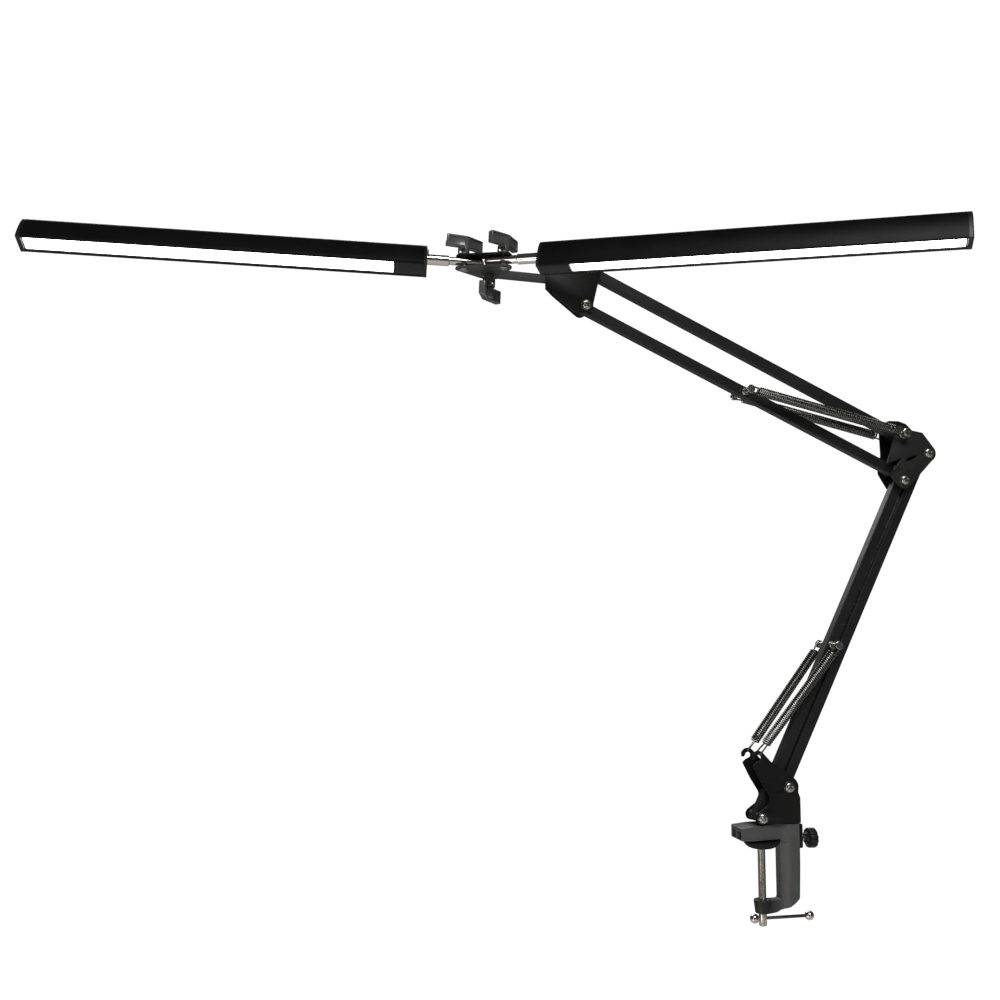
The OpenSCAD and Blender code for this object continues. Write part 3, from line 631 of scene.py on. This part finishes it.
def build_casting():
    """The clamp's C frame, from its side outline and its plan, and the boss on its back."""
    foot, out, inn, throat, half, waist = -68.5, 35.0, 16.7, -56.5, 11.5, 5.0
    side = [(-25.2, 0), (inn, 0), (inn, throat), (-4, throat), (-4, foot), (5, foot), (12, foot + 0.9),
            (21, foot + 5.1), (28, foot + 9.6), (32.6, foot + 13.8), (out, 6), (out, 14), (10, 14), (-10, 13.1),
            (-25.2, 11.5)]
    body = plate_xz("clamp frame", [rounded(side, {0: 1.6, 1: 2.0, 2: 3.0, 3: 0.5, 4: 0.5, 11: 1.2, 14: 2.0}, 4.0)],
                    -13, 13, 0.0)
    near = [(33.8, -half), (23.5, -half), (inn, -8.0), (6, -9.6), (-9, -12.5), (-25.2, -12.5)]
    plan = near + [(x, -y) for x, y in reversed(near)] + [(out, half - 2.2), (out, 2.2 - half)]
    body = boolean(body, prism_z("cut", rounded(plan, {5: 2.2, 6: 2.2, 12: 1.0, 13: 1.0, 11: 0.8, 0: 0.8}, 5.0),
                                 foot - 2, 20), "INTERSECT")
    near = [(23.2, -half - 0.01), (inn + 2, -waist - 1.2), (inn, -waist), (-6, -5.5)]
    around = [(-30, -20), (23.2, -20)] + near + [(x, -y) for x, y in reversed(near)] + [(23.2, 20), (-30, 20)]
    body = boolean(body, prism_z("cut", rounded(around, {2: 1.0, 9: 1.0}, 2.0), foot - 4, -2.0))
    nose = lathe("nose", [(0, foot - 0.02), (6.4, foot - 0.02), (7.0, foot + 0.5), (8.2, throat - 0.9),
                          (7.9, throat + 0.05), (7.4, throat + 0.3), (0, throat + 0.3)])
    body = boolean(body, nose, "UNION")
    for y in (-11.1, 0.9):
        body = boolean(body, block("cut", (-27, y, 1.1), (-21.2, y + 8.0, 8.4), 0.8))
    cutters = [cyl("cut", 6.5, -26, 30, at_socket, 48), cyl("cut", 3.85, foot - 2, throat + 2, None, 48),
               cyl("cut", 2.6, SOCKET_X, SOCKET_X + 30, at_lock, 32)]
    for cutter in cutters:
        body = boolean(body, cutter)
    body = bevel(body, 0.7, 3, 40)
    # Painted shade: the boss is the same cast metal as the frame, but takes the near-black plate coat to stand for the
    # shade on the casting's back.
    rear = block("rear boss", (33.5, -6.9, -9.8), (39.9, 6.9, 12.8), 1.4)
    finish_object(boolean(rear, cyl("cut", 2.6, SOCKET_X - 5, SOCKET_X + 30, at_lock, 32)), PLATE, "clamp")
    finish_object(body, CASTING, "clamp", ["clamp_frame"])


def build_clamp_fittings():
    """The socket bush, pressure pad, screw and tommy bar."""
    bush = lathe("socket bush", [(0, -26), (6.3, -26), (6.45, -25.6), (6.45, 14), (8.4, 14), (8.6, 14.2), (8.6, 14.8),
                                 (8.4, 15), (5.4, 15), (5.1, 14.7), (5.1, -24), (0, -24)], at_socket)
    finish_object(bush, PLASTIC, "clamp", ["socket_bush"])

    pad = lathe("pressure pad", [(4.05, -8.6), (9.8, -8.6), (11.2, -8.4), (12.8, -7.7), (14.7, -6.2), (15.8, -4.8),
                                 (16.2, -3.8), (16.1, -2.7), (15.7, -2.4), (13.5, -2.4), (13.2, -2.7), (12.4, -2.7),
                                 (12.1, -2.4), (9.5, -2.4), (9.2, -2.7), (8.4, -2.7), (8.1, -2.4), (0, -2.4)],
                segments=96)
    cup = lathe("cup", [(4.05, -8.6), (4.05, -4.7), (0, -4.7)])
    finish_object(join("pressure pad", [pad, cup]), PAD, "pressure_pad", ["pressure_pad"])

    core = lathe("clamp screw", [(0, -5.0), (3.0, -5.0), (3.6, -5.6), (3.6, -66.5), (3.75, -67.3), (3.75, -79.6),
                                 (3.4, -80.2), (2.6, -80.5), (0, -80.5)])
    core = boolean(core, cyl("cut", 1.6, -8, 8, at_tommy, 24))
    finish_object(core, THREAD, "clamp_screw", ["clamp_screw"])

    finish_object(cyl("tommy bar", 1.5, -5.5, 44.5, at_tommy, 32, 0.2), DARK_ZINC, "tommy_bar", ["tommy_bar"])
    ball_r = 4.4
    prof = [(0, -ball_r)] + arc((0, 0), ball_r, -80, 64, 18) + [(1.5, 4.15), (0, 4.15)]
    balls = [lathe("ball", prof, frame_matrix((x, 0, TOMMY_Z), (0, 1, 0), (way, 0, 0)), 40)
             for x, way in ((-8.3, 1), (47.3, -1))]
    finish_object(join("tommy bar ends", balls), CHROME, "tommy_bar", ["tommy_bar_balls"])


def build_lock_knob():
    """The side lock knob: fluted rim, recessed face, flared neck."""
    flutes, fine, face_r, face_x = 12, 144, 7.4, 54.8
    angles = [2 * pi * k / fine for k in range(fine)]
    layers = ((47.0, 0.86), (47.4, 0.96), (48.1, 1.0), (53.8, 1.0), (54.5, 0.97), (face_x, 0.92))
    verts = []
    for x, k in layers:
        for a in angles:
            r = k * (9.25 - 0.9 * max(0.0, cos(a * flutes)) ** 3)
            verts.append((x * MM, r * cos(a) * MM, (r * sin(a) + LOCK_Z) * MM))
    verts += [(face_x * MM, face_r * cos(a) * MM, (face_r * sin(a) + LOCK_Z) * MM) for a in angles]
    rim = raw("rim", verts, ring_faces(len(layers) + 1, fine) + [tuple(range(fine - 1, -1, -1))])
    face = lathe("face", [(face_r, face_x), (6.4, face_x), (6.0, 54.2), (0, 54.0)], at_lock)
    neck = lathe("neck", [(2.5, 44.4), (4.3, 44.4), (4.6, 44.7), (5.2, 46.0), (6.4, 46.9), (7.6, 47.1)], at_lock, 48)
    finish_object(join("lock knob", [rim, neck, face]), PLASTIC, "lock_knob", ["lock_knob"])
    stud = cyl("lock screw", 2.45, SOCKET_X + 5.4, 49.5, at_lock, 32, 0.3)
    finish_object(stud, ZINC, "lock_knob", ["lock_screw"])


# ---------- arm tubes
def arm_tube(name, p, q, body, node, pin=None):
    """A square tube with rounded long edges and round-nosed side walls, bored at both pivots."""
    a = atan2(q[1] - p[1], q[0] - p[0])
    length = hypot(q[0] - p[0], q[1] - p[1])
    half_out, half_in = 5.0, 3.8
    section = []
    for half, r, order in ((half_out, 1.0, 1), (half_in, 0.4, -1)):
        square = [(-half, -half), (half, -half), (half, half), (-half, half)]
        loop = []
        for i in range(4):
            loop += corner(square[i - 1], square[i], square[(i + 1) % 4], r, 5)
        section.append(loop[::order])
    start = shift(p[0], 0, p[1]) @ Matrix.Rotation(-a, 4, "Y")
    shell = extrude(name, section, length + 2 * half_out, 0.0, start @ shift(length / 2, 0, 0) @ ALONG_X)
    nose = arc((0, 0), half_out, 90, 270, 20) + arc((length, 0), half_out, -90, 90, 20)
    tube = boolean(shell, place(plate_xz("cut", [nose], -6, 6, 0.0), start), "INTERSECT")
    bores = [(p, 3.6), (q, 3.6)] + ([(pin, 2.5)] if pin else [])
    for c, r in bores:
        tube = boolean(tube, cyl("cut", r, -8, 8, along_y(c, 0), 32))
    return finish_object(tube, ARM, body, [node], smooth=30)


def mirrored(prof):
    """A profile and its mirror image, end to end."""
    return prof + [(r, -h) for r, h in reversed(prof)]


def cross_pin(name, p, body, node):
    """The pin through a tube, with a groove near each end for the springs' loops."""
    prof = mirrored([(0, -21), (3.6, -21), (4.0, -20.7), (4.0, -19.8), (3.7, -19.5), (2.5, -19.5), (2.5, -19.1),
                     (2.0, -18.9), (2.0, -17.7), (2.5, -17.5), (2.5, -9), (3.7, -9), (4, -8.7), (4, -5.02),
                     (2.5, -5.0)])
    return finish_object(lathe(name, prof, along_y(p, 0), 40), ZINC, body, [node])


def spacer_set(name, points, body, nodes_s, nodes_p):
    """A steel sleeve at each pivot with a nylon ring at both sides of its tube."""
    sleeves, rings = [], []
    for p in points:
        sleeves.append(lathe(name, [(2.6, -11), (3.5, -11), (3.5, 11), (2.6, 11), (2.6, -11)], along_y(p, 0), 40))
        for s in (-1, 1):
            m = along_y(p, 0, flip=s < 0)
            rings.append(lathe(name, [(3.6, 5.2), (4.6, 5.2), (4.8, 5.4), (4.8, 10.8), (4.6, 11), (3.6, 11),
                                      (3.6, 5.2)], m, 40))
    finish_object(join(name + " sleeves", sleeves), ZINC, body, nodes_s)
    finish_object(join(name + " spacers", rings), PLASTIC, body, nodes_p)


# ---------- springs and lower arm
def spring(name, start, end, y0, y1, lead0, lead1, node, hook0, pin0, lean0=0.0):
    """A tension spring between two XZ points at y0 and y1: an end loop round each pin and a nearly closed coil.

    lead is from pin to coil, hook a loop's radius, pin the radius it lies on, and lean its turn about the spring in
    degrees.
    """
    coil_r, wire, pitch, hook1, pin1 = 3.9, 0.82, 2.0, 3.0, 2.0
    p0, p1 = Vector((start[0], y0, start[1])), Vector((end[0], y1, end[1]))
    axis = (p1 - p0).normalized()
    length = (p1 - p0).length
    side = axis.cross(Vector((0, 1, 0))).normalized()
    up = side.cross(axis).normalized()

    def at(x, s, u=0.0):
        return p0 + axis * x + side * s + up * u

    def loop(c, way, x_coil, r, lean):
        """From beside the coil, round the pin at c and back to the coil's centre."""
        a = radians(lean)
        out = [at(x_coil + (c - x_coil) * i / 4, -r * cos(a), -r * sin(a)) for i in range(4)]
        for i in range(17):
            t = pi * i / 16
            k = -r * cos(t)
            out.append(at(c - way * r * sin(t), k * cos(a), k * sin(a)))
        out += [at(c + (x_coil - c) * (i + 1) / 4, r * cos(a) * (1 - 0.12 * i), r * sin(a) * (1 - 0.12 * i))
                for i in range(4)]
        return out

    path = loop(hook0 - wire - pin0, 1, lead0, hook0, lean0)
    coil, per_turn = length - lead0 - lead1, 18
    steps = int(coil / pitch * per_turn)
    for i in range(steps + 1):
        a = 2 * pi * i / per_turn
        grow = min(1.0, 0.6 + (i + 1) / 15, 0.6 + (steps - i + 1) / 15)
        x = lead0 + coil * i / steps
        path.append(at(x, coil_r * grow * cos(a), coil_r * grow * sin(a)))
    path += loop(length - (hook1 - wire - pin1), -1, length - lead1, hook1, 0.0)[::-1]
    ob = wire_along(name, path, wire, 8)
    finish_object(ob, SPRING)
    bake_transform(ob)
    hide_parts(node)


def build_lower_arm():
    """Two tubes, the spring pin, the base pivots and two springs."""
    arm_tube("lower front tube", base_front, elbow_low, "lower_arm", "lower_front_bar", lower_pin)
    arm_tube("lower rear tube", base_rear, elbow_right, "lower_link", "lower_rear_bar")
    cross_pin("lower spring pin", lower_pin, "lower_arm", "lower_spring_pin")
    spacer_set("base", (base_front, base_rear), "base_post", ["base_sleeves"], ["base_spacers"])
    for side, tag in ((-1, "near"), (1, "far")):
        spring("lower spring " + tag, plus(hook_hole, (1.0, 4.9)), lower_pin, side * 11.75, side * SPRING_Y, 10.5, 9.0,
               "lower_spring_" + tag, hook0=2.4, pin0=0.6, lean0=-60.0 * side)


# ---------- elbow and upper arm
def build_elbow():
    """Two plates that join the arms, with their pivots and the long spring bolt."""
    low, right, top, left = elbow_low, elbow_right, elbow_top, elbow_left
    holes = [hole(c, BOLT_HOLE) for c in (low, right, top, left)]
    near = arc(right, 8.5, -60, 35, 10) + [plus(top, q) for q in ((25.5, -2), (22.5, 1.8), (10, 3.9))]
    near += arc(top, 8, 80, 160, 8) + [plus(low, q) for q in ((-14, 28.5), (-18.8, 15.4), (-1.5, 22.3), (-5, 18.2),
                                                             (-14.5, 4), (-13, 1))]
    near += arc(low, 8.5, 230, 325, 10)
    slit = [plus(low, q) for q in ((2.2, 19.2), (6.3, 19.4), (13, 22.6), (16, 25.2), (10, 24.4), (4, 22.2))]
    plate = plate_xz("elbow near plate", [near] + holes + [slit[::-1]], -CHEEK_OUT, -CHEEK_IN)
    # Painted light: the near plate, and the rivet below, take the lighter copy of the plate coat.
    finish_object(plate, LIT_ELBOW_COAT, "elbow", ["elbow_plate_near"])
    far = arc(right, 8.5, -60, 35, 10) + [plus(top, q) for q in ((26, 8), (19, 14.5), (11, 17), (0, 17), (-6, 14.5))]
    far += arc(top, 12, 140, 160, 3) + [plus(low, (-11, 28))] + arc(left, 8, 140, 200, 6)
    far += arc(low, 8.5, 230, 325, 10)
    plate = plate_xz("elbow far plate", [far] + holes, CHEEK_IN, CHEEK_OUT)
    finish_object(plate, PLATE, "elbow", ["elbow_plate_far"])
    rivet = cyl("elbow rivet", 2.5, -CHEEK_OUT, CHEEK_OUT, along_y(left, 0), 32, 0.2)
    finish_object(rivet, LIT_ELBOW_COAT, "elbow")
    bolt_set("elbow bolts", (low, right), "elbow", ["elbow_bolts"])
    nut_set("elbow nuts", (low, right), "elbow", ["elbow_nuts"])
    spacer_set("elbow", (low, right, top, left), "elbow", ["elbow_sleeves"], ["elbow_spacers"])
    prof = mirrored([(0, -22.5), (3.7, -22.5), (4.4, -22.1), (4.4, -20.4), (4.1, -20), (2.5, -20), (2.5, -15.5),
                     (4.7, -15.5), (5, -15.2), (5, -12.8), (4.8, -12.5), (2.5, -12.5)])
    long = lathe("elbow spring bolt", prof, along_y(top, 0), 48)
    for cutter in cross_recess(3.6, 22.5, along_y(top, 0, flip=True)):
        long = boolean(long, cutter)
    finish_object(long, ZINC, "elbow", ["elbow_spring_bolt"])


def build_upper_arm():
    """Two tubes, the spring pin and two springs."""
    arm_tube("upper lower tube", elbow_left, head_low, "upper_arm", "upper_lower_bar", upper_pin)
    arm_tube("upper top tube", elbow_top, head_top, "upper_link", "upper_top_bar")
    cross_pin("upper spring pin", upper_pin, "upper_arm", "upper_spring_pin")
    for side, tag in ((-1, "near"), (1, "far")):
        spring("upper spring " + tag, elbow_top, upper_pin, side * SPRING_Y, side * SPRING_Y, 11.0, 8.5,
               "upper_spring_" + tag, hook0=3.5, pin0=2.5)


# ---------- head, twin bracket and thumb knobs
def build_head():
    """Two cheeks and the flat tab that holds the twin bracket."""
    tp = twin_pivot
    crest = [plus(tp, q) for q in ((60, 12), (80, 18))] + arc(head_top, 9, 120, -20, 16)
    tip, boss = plus(head_low, (-7.8, -9.4)), plus(head_low, (-36.6, 14.0))
    near = [plus(tp, (52, -4.5)), plus(tp, (52, 7))] + crest + arc(head_low, 7, 10, -40, 6)
    near += [plus(head_low, (1, -7.3)), plus(tip, (1.2, 0.3)), plus(tip, (-1, 0.4)), plus(head_low, (-33.4, 11.5))]
    near += arc(boss, 3.1, 330, 180, 14)
    far = [plus(tp, (57.5, -6)), plus(tp, (57.5, 7))] + crest + arc(head_low, 6.4, 10, -130, 12)
    far += [plus(tp, (64, -12.5))]
    holes = [hole(c, BOLT_HOLE) for c in (head_low, head_top)]
    parts = [plate_xz("head", [near] + holes, -CHEEK_OUT, -CHEEK_IN),
             plate_xz("head", [far] + holes, CHEEK_IN, CHEEK_OUT)]
    run, rise = boss[0] - tip[0], boss[1] - tip[1]
    lip = block("lip", (3, 0.2, -1.7), (hypot(run, rise) - 5, 7, -0.2), 0.3, 2)
    parts.append(place(lip, shift(tip[0], -CHEEK_OUT, tip[1]) @ Matrix.Rotation(-atan2(rise, run), 4, "Y")))
    tab = [(62, -12.2), (62, 12.2)] + arc((0, 0), 12.2, 90, 270, 28)
    # The tab takes the painted-light copy of the plate coat.
    flat = extrude("tab", [tab, hole((0, 0), THUMB_HOLE)], PLATE_T, 0.3, at_twin @ shift(0, 0, 2.25))
    finish_object(flat, LIT_TAB_COAT, "head")
    finish_object(join("head bracket", parts), PLATE, "head", ["head_bracket"])
    bolt_set("head bolts", (head_low, head_top), "head", ["head_bolts"])
    nut_set("head nuts", (head_low, head_top), "head", ["head_nuts"])
    spacer_set("head", (head_low, head_top), "head", ["head_sleeves"], ["head_spacers"])


def hull_outline(discs):
    """The convex outline around discs [(x, y, r), ...]."""
    pts = []
    for x, y, r in discs:
        pts += circle((x, y), r, 48)
    pts = sorted(set((round(x, 5), round(y, 5)) for x, y in pts))

    def half(seq):
        out = []
        for p in seq:
            while len(out) > 1 and (out[-1][0] - out[-2][0]) * (p[1] - out[-2][1]) - \
                    (out[-1][1] - out[-2][1]) * (p[0] - out[-2][0]) <= 1e-9:
                out.pop()
            out.append(p)
        return out[:-1]
    return half(pts) + half(pts[::-1])


def build_twin():
    """The triangular plate, the plate over the barrels and the pressed nuts."""
    turned = at_thumb((0, 0))
    la, ra = LEFT_AXIS, RIGHT_AXIS
    tri = hull_outline([(0, 0, 12.5), (*la, 8), (*ra, 8)])
    holes = [hole(c, THUMB_HOLE) for c in ((0, 0), la, ra)]
    # The lower plate takes the painted-light copy of the plate coat.
    low = extrude("twin lower plate", [tri] + holes, 1.4, 0.3, turned @ shift(0, 0, 0.7))
    finish_object(low, LIT_TAB_COAT, "twin_bracket", ["twin_lower_plate"])
    top = extrude("twin top plate", [hull_outline([(*la, 7.5), (*ra, 7.5)]), *holes[1:]], PLATE_T, 0.3,
                  turned @ shift(0, 0, ROD_Z + BARREL_R + GAP + PLATE_T / 2))
    finish_object(top, PLATE, "twin_bracket", ["twin_top_plate"])
    nuts = []
    for c in (la, ra):
        for prof in ([(2.1, 0), (4.6, 0), (4.6, -0.8), (4.2, -1.2), (2.3, -1.2), (2.1, -1.0), (2.1, 0)],
                     [(2.1, 1.4), (4.2, 1.4), (4.2, 2.7), (3.9, 3.0), (2.1, 3.0), (2.1, 1.4)]):
            nuts.append(lathe("nut", prof, at_thumb(c), 40))
    finish_object(join("twin nuts", nuts), ZINC, "twin_bracket", ["twin_nuts"])


def thumb_knob(name, matrix, body, node, leg_turn, collar=0.0, length=20.2, z1=17.4):
    """A moulded knob: a caged stem under two hollow-faced wings that meet at a ridge."""
    swept, ridge, thick, z0 = radians(14.4), 6.3, 6.4, 6.6
    tip = (length * cos(swept), length * sin(swept) - ridge)
    back = (tip[0] - thick * sin(swept), tip[1] + thick * cos(swept))
    outline = [(0, -ridge), tip, back, (0, thick / cos(swept) - ridge), (-back[0], back[1]), (-tip[0], tip[1])]
    wings = prism_z("wings", rounded(outline, {0: 1.6, 3: 2.0}, 1.5), z0, z1, 0.7, 3)
    for side in (Matrix.Identity(4), Matrix.Scale(-1, 4, (1, 0, 0))):
        pocket = block("cut", (2.6, -0.9, z0 + 1.5), (length - 2.0, 1.0, z1 - 1.5), 0.5, 2)
        wings = boolean(wings, place(pocket, side @ shift(0, -ridge, 0) @ Matrix.Rotation(swept, 4, "Z")))
    parts = [wings, cyl("hub", 5.2, z0 + 1, z1 - 0.9, None, 48, 0.5), cyl("core", 2.9, 0.1, z0 + 1, None, 40),
             cyl("flange", 6.0, 0, 1.3, None, 48, 0.25), cyl("crown", 6.1, z0 - 0.7, z0 + 0.8, None, 48, 0.25)]
    for k in range(3):
        leg = block("leg", (4.7, -1.7, 0.8), (6.0, 1.7, z0 + 0.4), 0.25, 2)
        parts.append(place(leg, turn_about("Z", leg_turn + 120 * k)))
    if collar:
        parts.append(cyl("collar", 5.0, -collar, 0.5, None, 48, 0.25))
    return finish_object(place(join(name, parts), matrix), KNOB, body, [node])


def build_knobs():
    """Three thumb knobs with their screws, and the nut above the lower one."""
    for side, c, turn in (("left", LEFT_AXIS, 46), ("right", RIGHT_AXIS, 65)):
        thumb_knob(side + " thumb knob", at_thumb(c) @ shift(0, 0, TOP) @ turn_about("Z", turn),
                   side + "_knob", side + "_thumb_knob", 190 - turn)
        screw = cyl(side + " thumb screw", 2.0, -1.0, TOP + 8.0, at_thumb(c), 32, 0.2)
        finish_object(screw, STEEL, side + "_knob", [side + "_thumb_screw"])
    down = at_twin @ Matrix.Scale(-1, 4, (0, 0, 1)) @ shift(0, 0, GAP + COLLAR) @ turn_about("Z", -124.5)
    thumb_knob("lower thumb knob", down, "lower_knob", "lower_thumb_knob", 140, COLLAR, 21.2, 19.0)
    screw = cyl("lower thumb screw", 2.0, -8.2 - COLLAR, 3.4, at_twin, 32, 0.2)
    finish_object(screw, STEEL, "lower_knob", ["lower_thumb_screw"])
    nut = extrude("lower thumb nut", [circle((0, 0), 4.0, 6)], 3.4, 0.3, at_twin @ shift(0, 0, 4.9))
    dome = lathe("dome", [(3.4, 6.4)] + arc((0, 8.4), 3.3, 0, 80, 8) + [(0, 11.7)], at_twin, 32)
    finish_object(join("lower thumb nut", [nut, dome]), PLATE, "lower_knob")


# ---------- lamps
def arch(inset=0.0, n=48):
    """The lamp's section in its YZ plane: a half ellipse on a flat face."""
    w, h = LAMP_W / 2 - inset, LAMP_H - inset
    return [(w * cos(pi * i / n), FACE_Z + h * sin(pi * i / n)) for i in range(n + 1)]


def solid_along_x(name, rings):
    """Skins a list of (x, loop) sections and closes both ends."""
    verts = [(x * MM, y * MM, z * MM) for x, loop in rings for y, z in loop]
    return skin(name, verts, len(rings[0][1]))


def housing_loop():
    """Closed outline of the extruded housing: arched skin, two lips, open slot."""
    half, side = SLOT_W / 2, LAMP_W / 2
    inner = [(y, z) for y, z in arch(SKIN, 40) if z > FACE_Z + SKIN]
    lip = [(half, FACE_Z + 0.2), (half + 0.2, FACE_Z), (side - 0.4, FACE_Z), (side - 0.1, FACE_Z + 0.15)]
    loop = lip + arch()[1:-1] + [(-y, z) for y, z in reversed(lip)]
    loop += [(-half, FACE_Z + SKIN), (-inner[0][0], FACE_Z + SKIN)] + inner[::-1]
    return loop + [(inner[0][0], FACE_Z + SKIN), (half, FACE_Z + SKIN)]


def build_rod(side, place_at):
    """A barrel bored for its thumb screw, with a round end and a stub, and the rod that turns on the stub."""
    prof = [(0, -18.7)] + arc((0, -14.8), BARREL_R, -80, 0, 8)
    prof += [(BARREL_R, 13.4), (3.6, 13.8), (2.5, 13.8), (2.5, 29.6), (2.2, 30), (0, 30)]
    barrel = boolean(lathe("barrel", prof, ALONG_X), cyl("cut", THUMB_HOLE, -12, 12, None, 32))
    boss = lathe("boss", [(2.1, -4.0), (4.2, -4.0), (4.4, -3.8), (4.4, -1.2), (2.1, -1.2), (2.1, -4.0)])
    ob = place(join(side + " barrel", [barrel, boss]), place_at)
    finish_object(ob, CHROME, side + "_swivel", [side + "_barrel"])
    rod = lathe(side + " rod", [(2.6, 14), (4.7, 14), (5, 14.3), (5, 47.8), (4.7, 48.2), (0, 48.2)], ALONG_X)
    rod = join(side + " rod", [rod, lathe("bore", [(2.6, 14), (2.6, 31), (0, 31)], ALONG_X, 40)])
    finish_object(place(rod, place_at), CHROME, side + "_lamp", [side + "_rod"])


def cap(name, x, steps):
    """A rounded end cap from (distance from x, inset) pairs."""
    return solid_along_x(name, [(x + dx, arch(inset)) for dx, inset in steps])


def build_lamp(side, place_at, roll):
    """One bar light: its rod, arched housing, lit diffuser, two end caps and LED board."""
    build_rod(side, place_at)
    body_lamp = side + "_lamp"
    turned = place_at @ turn_about("X", roll)
    loop = housing_loop()
    shell = solid_along_x(side + " housing", [(LAMP_START + 3.0, loop), (LAMP_END - 4.0, loop)])
    finish_object(place(shell, turned), LAMP, body_lamp, [side + "_housing"])
    light = block(side + " diffuser", (LIT, -8.85, FACE_Z + SKIN), (LAMP_END - 5.2, 8.85, FACE_Z + 3.1), 0.15, 2)
    finish_object(place(light, turned), DIFFUSER, body_lamp, [side + "_diffuser"])

    outer = cap(side + " outer cap", LAMP_END,
                [(-3.95, 0.25), (-3.75, 0.02), (-1.0, 0.02), (-0.5, 0.18), (-0.15, 0.5), (0, 1.0)])
    finish_object(place(outer, turned), PLASTIC, body_lamp, [side + "_outer_cap"])
    s = LAMP_START
    inner = cap("inner cap", s, [(0, 1.0), (0.15, 0.5), (0.5, 0.18), (1.0, 0.02), (2.75, 0.02), (2.95, 0.25)])
    inner = boolean(inner, cyl("cut", 5.02, s - 4, s + 9, ALONG_X))
    half = SLOT_W / 2 - 0.12
    tongue = block("tongue", (s + 2.6, -half, FACE_Z), (LIT - 0.25, half, FACE_Z + SKIN), 0.2, 2)
    inlet = lathe("inlet", [(1.5, s - 1.2), (2.3, s - 1.2), (2.6, s - 0.9), (2.6, s + 1), (1.5, s + 1), (1.5, s - 1.2)],
                  shift(0, 0, 9) @ ALONG_X, 32)
    finish_object(place(join(side + " inner cap", [inner, tongue, inlet]), turned), PLASTIC, body_lamp,
                  [side + "_inner_cap"])
    z, leds, spacing = FACE_Z + 7.5, 32, 10
    strip = [block("board", (LIT, -7, z), (LAMP_END - 7, 7, z + 1.2), 0.1, 1)]
    for i in range(leds):
        x = LIT + 6 + i * spacing
        strip.append(block("led", (x, -1.4, z - 0.7), (x + 2.8, 1.4, z + 0.05)))
    finish_object(place(join(side + " led board", strip), turned), BOARD, body_lamp, [side + "_led_board"])


# ---------- stage, lights and camera
def split_light(tree, seen, other):
    """Joins two shaders: what the lens meets directly, and what lights the object."""
    path = add(tree, "ShaderNodeLightPath")
    mix = add(tree, "ShaderNodeMixShader")
    tree.links.new(path.outputs["Is Camera Ray"], mix.inputs["Fac"])
    tree.links.new(other.outputs[0], mix.inputs[1])
    tree.links.new(seen.outputs[0], mix.inputs[2])
    return mix.outputs["Shader"]


def build_stage():
    """A white floor and a white studio behind the lamp, both dim as light sources."""
    bpy.ops.mesh.primitive_plane_add(size=14)
    floor = bpy.context.object
    floor.name = "floor"
    floor.location = (0, 0, -0.62)
    mat, tree, bsdf = shader("floor")
    bsdf.inputs["Base Color"].default_value = (0.85, 0.85, 0.85, 1)
    bsdf.inputs["Roughness"].default_value = 0.9
    glow = add(tree, "ShaderNodeEmission")
    glow.inputs["Strength"].default_value = BACKDROP
    tree.links.new(split_light(tree, glow, bsdf), tree.nodes["Material Output"].inputs["Surface"])
    floor.data.materials.append(mat)
    bpy.context.scene.view_settings.view_transform = "Standard"
    world = bpy.data.worlds.new("studio")
    bpy.context.scene.world = world
    world.use_nodes = True
    tree = world.node_tree
    soft = tree.nodes["Background"]
    soft.inputs["Color"].default_value = (1, 1, 1, 1)
    soft.inputs["Strength"].default_value = 0.05
    white = add(tree, "ShaderNodeBackground")
    white.inputs["Color"].default_value = (1, 1, 1, 1)
    white.inputs["Strength"].default_value = BACKDROP
    tree.links.new(split_light(tree, white, soft), tree.nodes["World Output"].inputs["Surface"])


def area(name, where, toward, size, size_y, power, color=(1, 1, 1)):
    """A rectangular light at one point, aimed at another, in metres and watts."""
    data = bpy.data.lights.new(name, "AREA")
    data.shape = "RECTANGLE"
    data.size, data.size_y = size, size_y
    data.energy = power
    data.color = color
    ob = bpy.data.objects.new(name, data)
    bpy.context.scene.collection.objects.link(ob)
    ob.location = where
    ob.rotation_euler = (Vector(toward) - Vector(where)).to_track_quat("-Z", "Y").to_euler()


def build_lights():
    """A high key, three low lights for the metal, and two from behind."""
    area("key", (-0.3, -2.1, 2.3), (0, 0, 0.3), 1.4, 1.0, 50)
    area("low", (-1.0, -0.62, -0.5), (-0.27, 0, 0.53), 0.45, 0.4, 2.8, (1, 0.95, 0.88))
    area("glint", (-1.17, -0.9, 0.25), (-0.27, 0, 0.53), 0.35, 0.3, 1.1, (1, 0.96, 0.9))
    area("front", (0.1, -1.8, 0.0), (-0.2, 0, 0.5), 0.5, 0.3, 1.2, (1, 0.96, 0.9))
    area("rim", (0.6, 1.8, 1.8), (0, 0, 0.4), 1.4, 1.0, 14)
    area("back", (-0.7, 2.0, 1.7), (-0.1, 0, 0.3), 1.2, 0.8, 15)


def build_camera():
    """The camera, in metres."""
    data = bpy.data.cameras.new("camera")
    data.lens = 39.6
    data.sensor_width = 36
    data.clip_end = 50
    ob = bpy.data.objects.new("camera", data)
    bpy.context.scene.collection.objects.link(ob)
    ob.location = (-0.45855, -0.9949, 0.216)
    ob.rotation_euler = Vector((0.2020, 0.9743, 0.0982)).to_track_quat("-Z", "Y").to_euler()
    bpy.context.scene.camera = ob


build_casting()
build_clamp_fittings()
build_lock_knob()
build_base()
build_lower_arm()
build_elbow()
build_upper_arm()
build_head()
build_twin()
build_knobs()
build_lamp("left", at_lamp(LEFT_AXIS, 180 + 19), 25)
build_lamp("right", at_lamp(RIGHT_AXIS, -4), -10)
build_stage()
build_lights()
build_camera()
